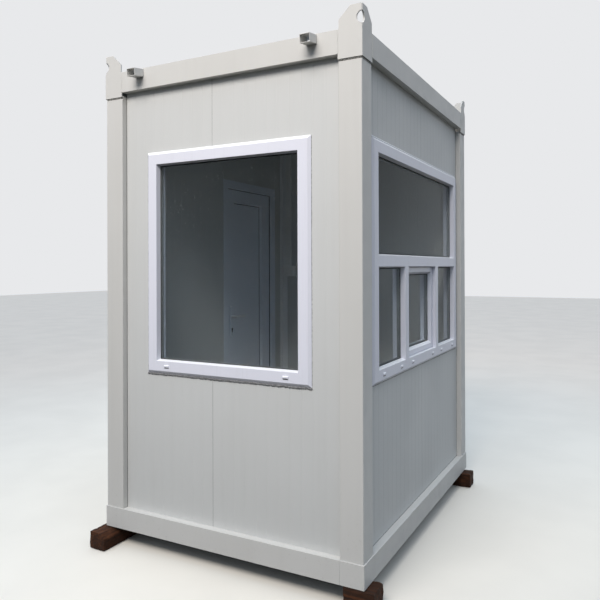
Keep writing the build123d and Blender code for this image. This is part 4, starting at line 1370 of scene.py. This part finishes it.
@dataclass
class TicketWindow(PlasticWindow):
    """The window of the right wall: a wide light over two narrow ones and an opening sash."""

    through: Axis = Axis.X
    outside: float = 0.774
    wall: float = 0.76
    upper: Light = (-0.729, 0.761, 1.646, 2.16)
    near: Light = (-0.729, -0.3145, 1.07, 1.588)
    far: Light = (0.3465, 0.761, 1.07, 1.588)
    sash: Light = (-0.2165, 0.2485, 1.11, 1.548)
    sash_rail: float = 0.05
    faces: Span = (0.746, 0.722)
    sash_faces: Span = (0.734, 0.710)
    cap_edge: float = 0.0007
    side_caps: tuple[float, ...] = (-0.659, -0.3845, -0.1865, 0.2185, 0.4165, 0.691)
    front_caps: Span = (-0.375, 0.375)
    slot_half: float = 0.0145
    slot_levels: Span = (1.0328, 1.0354)
    slot_depths: Span = (0.7735, 0.7772)
    front_slot_depths: Span = (-0.9772, -0.9735)
    bead_edge: float = 0.0004
    top_bead: Box = ((0.7595, -0.797, 2.2285), (0.7658, 0.829, 2.2366))
    fillet_shift: float = 0.00045

    def build(self) -> None:
        """Build the window."""
        self.profile("ticket_window_frame", self.rail)
        self.profile("ticket_window_sash", self.sash_rail)
        self.sealant("ticket_window_frame", self.wall)
        Bench.carry("ticket_sash_handle", "ticket_sash_grip", WINDOW_WHITE)
        Bench.carry("window_drain_caps", "drain_caps", WINDOW_WHITE, self.cap_edge)
        self.drain_slots_and_shadows()
        self.silicone()
        self.glaze("ticket_window_glass", [(light, *self.faces) for light in (self.upper, self.near, self.far)])
        self.glaze("ticket_sash_glass", [(self.sash, *self.sash_faces)])

    def silicone(self) -> None:
        """Run a white fillet along the top of the frame, which slopes from the wall to the frame."""
        low, high = self.top_bead
        piece = Bench.block("top_silicone", low, high)
        Bench.open(piece)
        middle = ((low[0] + high[0]) / 2 + self.fillet_shift, 0, (low[2] + high[2]) / 2 + self.fillet_shift)
        bpy.ops.mesh.bisect(plane_co=middle, plane_no=(1, 0, 1), use_fill=True, clear_outer=True)
        Bench.clear()
        Bench.dress(Bench.soften(piece, self.bead_edge), WHITE_SILICONE)

    def drain_slots_and_shadows(self) -> None:
        """Lay dark blocks under the drain caps of both windows: the caps' slots, and painted shadow under the caps."""
        low, high = self.slot_levels
        (near, deep), (front, behind) = self.slot_depths, self.front_slot_depths
        half = self.slot_half
        boxes = [((near, middle - half, low), (deep, middle + half, high)) for middle in self.side_caps]
        boxes += [((middle - half, front, low), (middle + half, behind, high)) for middle in self.front_caps]
        Bench.dress(Bench.blocks("drain_slots_and_shadows", boxes, self.bead_edge), BLACK_SEAL_AND_PAINTED_SHADE)


@dataclass
class Doorway:
    """The door with its frame, hinges, plates and lever."""

    edge: float = 0.0012
    hinge_edge: float = 0.0005
    stop: Box = ((-0.7205, 0.0905, 0.2355), (-0.716, 0.7195, 2.1715))
    stop_width: float = 0.0112
    stop_edge: float = 0.001
    field: tuple[Span, Span] = ((0.216, 0.369), (0.594, 2.066))
    board: Span = (-0.744, -0.768)
    gasket: Span = (0.0045, 0.002)
    gasket_edge: float = 0.0007
    plates: Span = (-0.712, -0.8)
    handle_line: float = 0.162
    screw_heights: Span = (1.287, 1.094)
    screw: Span = (0.0042, 0.0012)
    screw_proud: float = 0.0003
    screw_recess: Span = (0.0018, 0.0007)
    lock_faces: Span = (-0.709, -0.803)
    keyway: Span = (1.1285, 1.1375)
    keyway_half: float = 0.001
    keyway_depths: Span = (0.0002, 0.0003)
    keyway_edge: float = 0.0001

    def build(self) -> None:
        """Build the doorway."""
        parts = (
            ("door_frame", DOOR_WHITE_AND_PAINTED_SKY_LIGHT, Body.CONTAINER, self.edge),
            ("door_threshold", SILL_ALUMINIUM, Body.CONTAINER, self.edge),
            ("door_hinges_frame_side", DOOR_WHITE_AND_PAINTED_SKY_LIGHT, Body.CONTAINER, self.hinge_edge),
            ("door_leaf", DOOR_WHITE_AND_PAINTED_SKY_LIGHT, Body.DOOR, self.edge),
            ("door_infill_panel", DOOR_WHITE_AND_PAINTED_SKY_LIGHT, Body.DOOR, self.edge),
            ("door_hinges_leaf_side", DOOR_WHITE_AND_PAINTED_SKY_LIGHT, Body.DOOR, self.hinge_edge),
            ("door_handle_plates", DOOR_WHITE_AND_PAINTED_SKY_LIGHT, Body.DOOR, 0.0),
            ("door_lock_cylinder", LOCK_NICKEL, Body.DOOR, 0.0),
            ("door_handle", LEVER_LACQUER, Body.HANDLE, 0.0),
        )
        for node, finish, body, edge in parts:
            Bench.carry(node, f"finished_{node}", finish, edge, body)
        self.seals()
        self.fittings()

    def seals(self) -> None:
        """Set the stop seal in the frame and the gaskets round the infill board."""
        stop = Bench.ring("door_stop_seal", *self.stop, Axis.X, self.stop_width)
        Bench.dress(Bench.soften(stop, self.stop_edge, 2), BLACK_SEAL_AND_PAINTED_SHADE)
        (left, bottom), (right, top) = self.field
        width, depth = self.gasket
        gaskets = []
        for face, out in zip(self.board, (1, -1)):
            first, last = sorted((face, face + out * depth))
            gasket = Bench.ring("infill_gaskets", (first, left, bottom), (last, right, top), Axis.X, width)
            gaskets.append(Bench.soften(gasket, self.gasket_edge, 2))
        Bench.dress(Bench.join(gaskets), BLACK_SEAL_AND_PAINTED_SHADE, Body.DOOR)

    def fittings(self) -> None:
        """Add the screws of the handle plates and the keyways of the lock."""
        screws, keyways = [], []
        rim, recess = self.screw_recess
        for face, out in zip(self.plates, (1, -1)):
            for height in self.screw_heights:
                centre = (face + out * self.screw_proud, self.handle_line, height)
                screw = Bench.disc("plate_screws", centre, Axis.X, self.screw)
                Bench.open(screw)
                Bench.pick(screw, "FACE", lambda end: end.normal.x * out > FACING)
                bpy.ops.mesh.inset(thickness=rim)
                bpy.ops.transform.translate(value=(-recess * out, 0, 0))
                screws.append(screw)
        # The keyways are thin black slivers on the lock's faces: painted shade of the key slots.
        left, right = self.handle_line - self.keyway_half, self.handle_line + self.keyway_half
        low, high = self.keyway
        for face, out in zip(self.lock_faces, (1, -1)):
            first, last = sorted((face - out * self.keyway_depths[0], face + out * self.keyway_depths[1]))
            keyways.append(((first, left, low), (last, right, high)))
        Bench.dress(Bench.join(screws), SCREW_ZINC, Body.DOOR)
        Bench.dress(Bench.blocks("keyways", keyways, self.keyway_edge), BLACK_SEAL_AND_PAINTED_SHADE, Body.DOOR)


@dataclass
class RoofAndFloor:
    """Roof sheet, ceiling, deck, underside sheet and spouts."""

    fall: float = 0.0103
    eaves: float = -0.976
    crest: float = 0.02
    rows: tuple[float, ...] = (-0.88, -0.44, 0.0, 0.44, 0.88)
    ribs: tuple[float, ...] = (-0.625, -0.375, -0.125, 0.125, 0.375, 0.625)
    washer: Span = (0.008, 0.0012)
    washer_edge: float = 0.0004
    head: Span = (0.0042, 0.0048)
    head_sides: int = 6
    head_edge: float = 0.0005
    heights: Span = (0.0006, 0.0034)

    def build(self) -> None:
        """Build the pieces."""
        parts = (
            ("roof_sheet", SPOUT_ZINC, 0.0),
            ("ceiling_panel", CEILING_COATING_AND_PAINTED_SHADE, 0.001),
            ("floor_deck", DECK_BOARD, 0.001),
            ("floor_underside_sheet", SPOUT_ZINC, 0.0),
            ("rain_spouts", FRAME_PAINT, 0.0008),
            ("interior_corner_trims", TRIM_WHITE, 0.0005),
            ("light_switch", SWITCH_WHITE, 0.0012),
        )
        for node, finish, edge in parts:
            Bench.carry(node, f"finished_{node}", finish, edge)
        self.roof_screws()

    def roof_screws(self) -> None:
        """Set the roof sheet's screws with their washers."""
        washer = Bench.disc("roof_screws", (0, 0, self.heights[0]), Axis.Z, self.washer)
        Bench.soften(washer, self.washer_edge)
        head = Bench.disc("screw_head", (0, 0, self.heights[1]), Axis.Z, self.head, self.head_sides)
        screw = Bench.join([washer, Bench.soften(head, self.head_edge)])
        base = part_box("roof_sheet")[0].z + self.crest
        places = [Vector((rib, row, base + self.fall * (row - self.eaves))) for rib in self.ribs for row in self.rows]
        first = places[0]
        screw.data.transform(Matrix.Translation(first))
        others = [Bench.twin(screw, Matrix.Translation(place - first)) for place in places[1:]]
        Bench.dress(Bench.join([screw, *others]), SCREW_ZINC)


@dataclass
class Studio:
    """Floor, lights and the camera at the photograph's viewing angle."""

    eye: Point = (1.8882, -3.6683, 1.588)
    yaw: float = 27.956
    pitch: float = 0.208
    roll: float = -0.181
    lens: float = 37.51
    film: float = 36
    shift: float = -0.059
    floor_size: float = 60
    backdrop: Colour = linear(232, 233, 235)
    sky: Span = (0.06, 1.32)
    sky_colour: Colour = (0.74, 0.86, 1.02)
    lamp_place: Point = (0.4, -5.45, 6.35)
    lamp_target: Point = (0, -0.9, 2.15)
    lamp_size: Span = (5.0, 2.5)
    lamp_power: float = 85
    lamp_colour: Colour = (1.0, 0.935, 0.88)
    lamp_spread: float = 70

    def build(self) -> None:
        """Build the studio."""
        self.floor()
        self.light_room()
        self.lamp()
        self.camera()

    def floor(self) -> None:
        """Lay the ground."""
        Bench.clear()
        bpy.ops.mesh.primitive_plane_add(size=self.floor_size, location=(0, 0, 0))
        ground = bpy.context.object
        ground.name = "studio_ground"
        ground.data.materials.append(GROUND.material())
        Bench.clear()

    def light_room(self) -> None:
        """Light the room from above, behind a plain backdrop."""
        world = bpy.data.worlds.new("studio")
        bpy.context.scene.world = world
        world.use_nodes = True
        sky = Nodes(world.node_tree, "ShaderNodeOutputWorld", "Generated")
        strength = sky.span(sky.part(Axis.Z), (0, 1), self.sky, "LINEAR")
        thrown = sky.node("ShaderNodeBackground", {"Color": self.sky_colour, "Strength": strength}).outputs[0]
        seen = sky.node("ShaderNodeBackground", {"Color": self.backdrop}).outputs[0]
        both = sky.node("ShaderNodeMixShader", {0: sky.in_view(), 1: thrown, 2: seen}).outputs[0]
        sky.feed(sky.output.inputs[0], both)

    def lamp(self) -> None:
        """Hang a large soft lamp high in front."""
        data = bpy.data.lights.new("key_lamp", "AREA")
        data.shape = "RECTANGLE"
        data.size, data.size_y = self.lamp_size
        data.energy, data.color, data.spread = self.lamp_power, self.lamp_colour, math.radians(self.lamp_spread)
        lamp = bpy.data.objects.new("key_lamp", data)
        bpy.context.scene.collection.objects.link(lamp)
        lamp.location = self.lamp_place
        lamp.visible_camera = False
        ahead = Vector(self.lamp_target) - Vector(self.lamp_place)
        lamp.rotation_euler = ahead.to_track_quat("-Z", "Y").to_euler()

    def camera(self) -> None:
        """Set the camera where the photograph was taken."""
        yaw, pitch, roll = (math.radians(angle) for angle in (self.yaw, self.pitch, self.roll))
        ahead = Vector((-math.sin(yaw) * math.cos(pitch), math.cos(yaw) * math.cos(pitch), math.sin(pitch)))
        level = Vector((math.cos(yaw), math.sin(yaw), 0))
        upright = level.cross(ahead)
        right = level * math.cos(roll) + upright * math.sin(roll)
        above = upright * math.cos(roll) - level * math.sin(roll)
        data = bpy.data.cameras.new("camera")
        data.lens, data.sensor_width, data.shift_y = self.lens, self.film, self.shift
        camera = bpy.data.objects.new("camera", data)
        bpy.context.scene.collection.objects.link(camera)
        turn = Matrix((right, above, -ahead)).transposed().to_4x4()
        camera.matrix_world = Matrix.Translation(self.eye) @ turn
        bpy.context.scene.camera = camera


def main() -> None:
    """Build the container, piece by piece, and its studio."""
    logging.basicConfig(level=logging.INFO, format="%(name)s: %(message)s")
    bpy.context.scene.view_settings.view_transform = "Standard"
    parts = (
        ("steel frame", SteelFrame()),
        ("timber feet", TimberFeet()),
        ("wall panels", WallPanels()),
        ("front window", FrontWindow()),
        ("ticket window", TicketWindow()),
        ("doorway", Doorway()),
        ("roof and floor", RoofAndFloor()),
    )
    for name, part in parts:
        part.build()
    Studio().build()


if __name__ == "__main__":
    main()
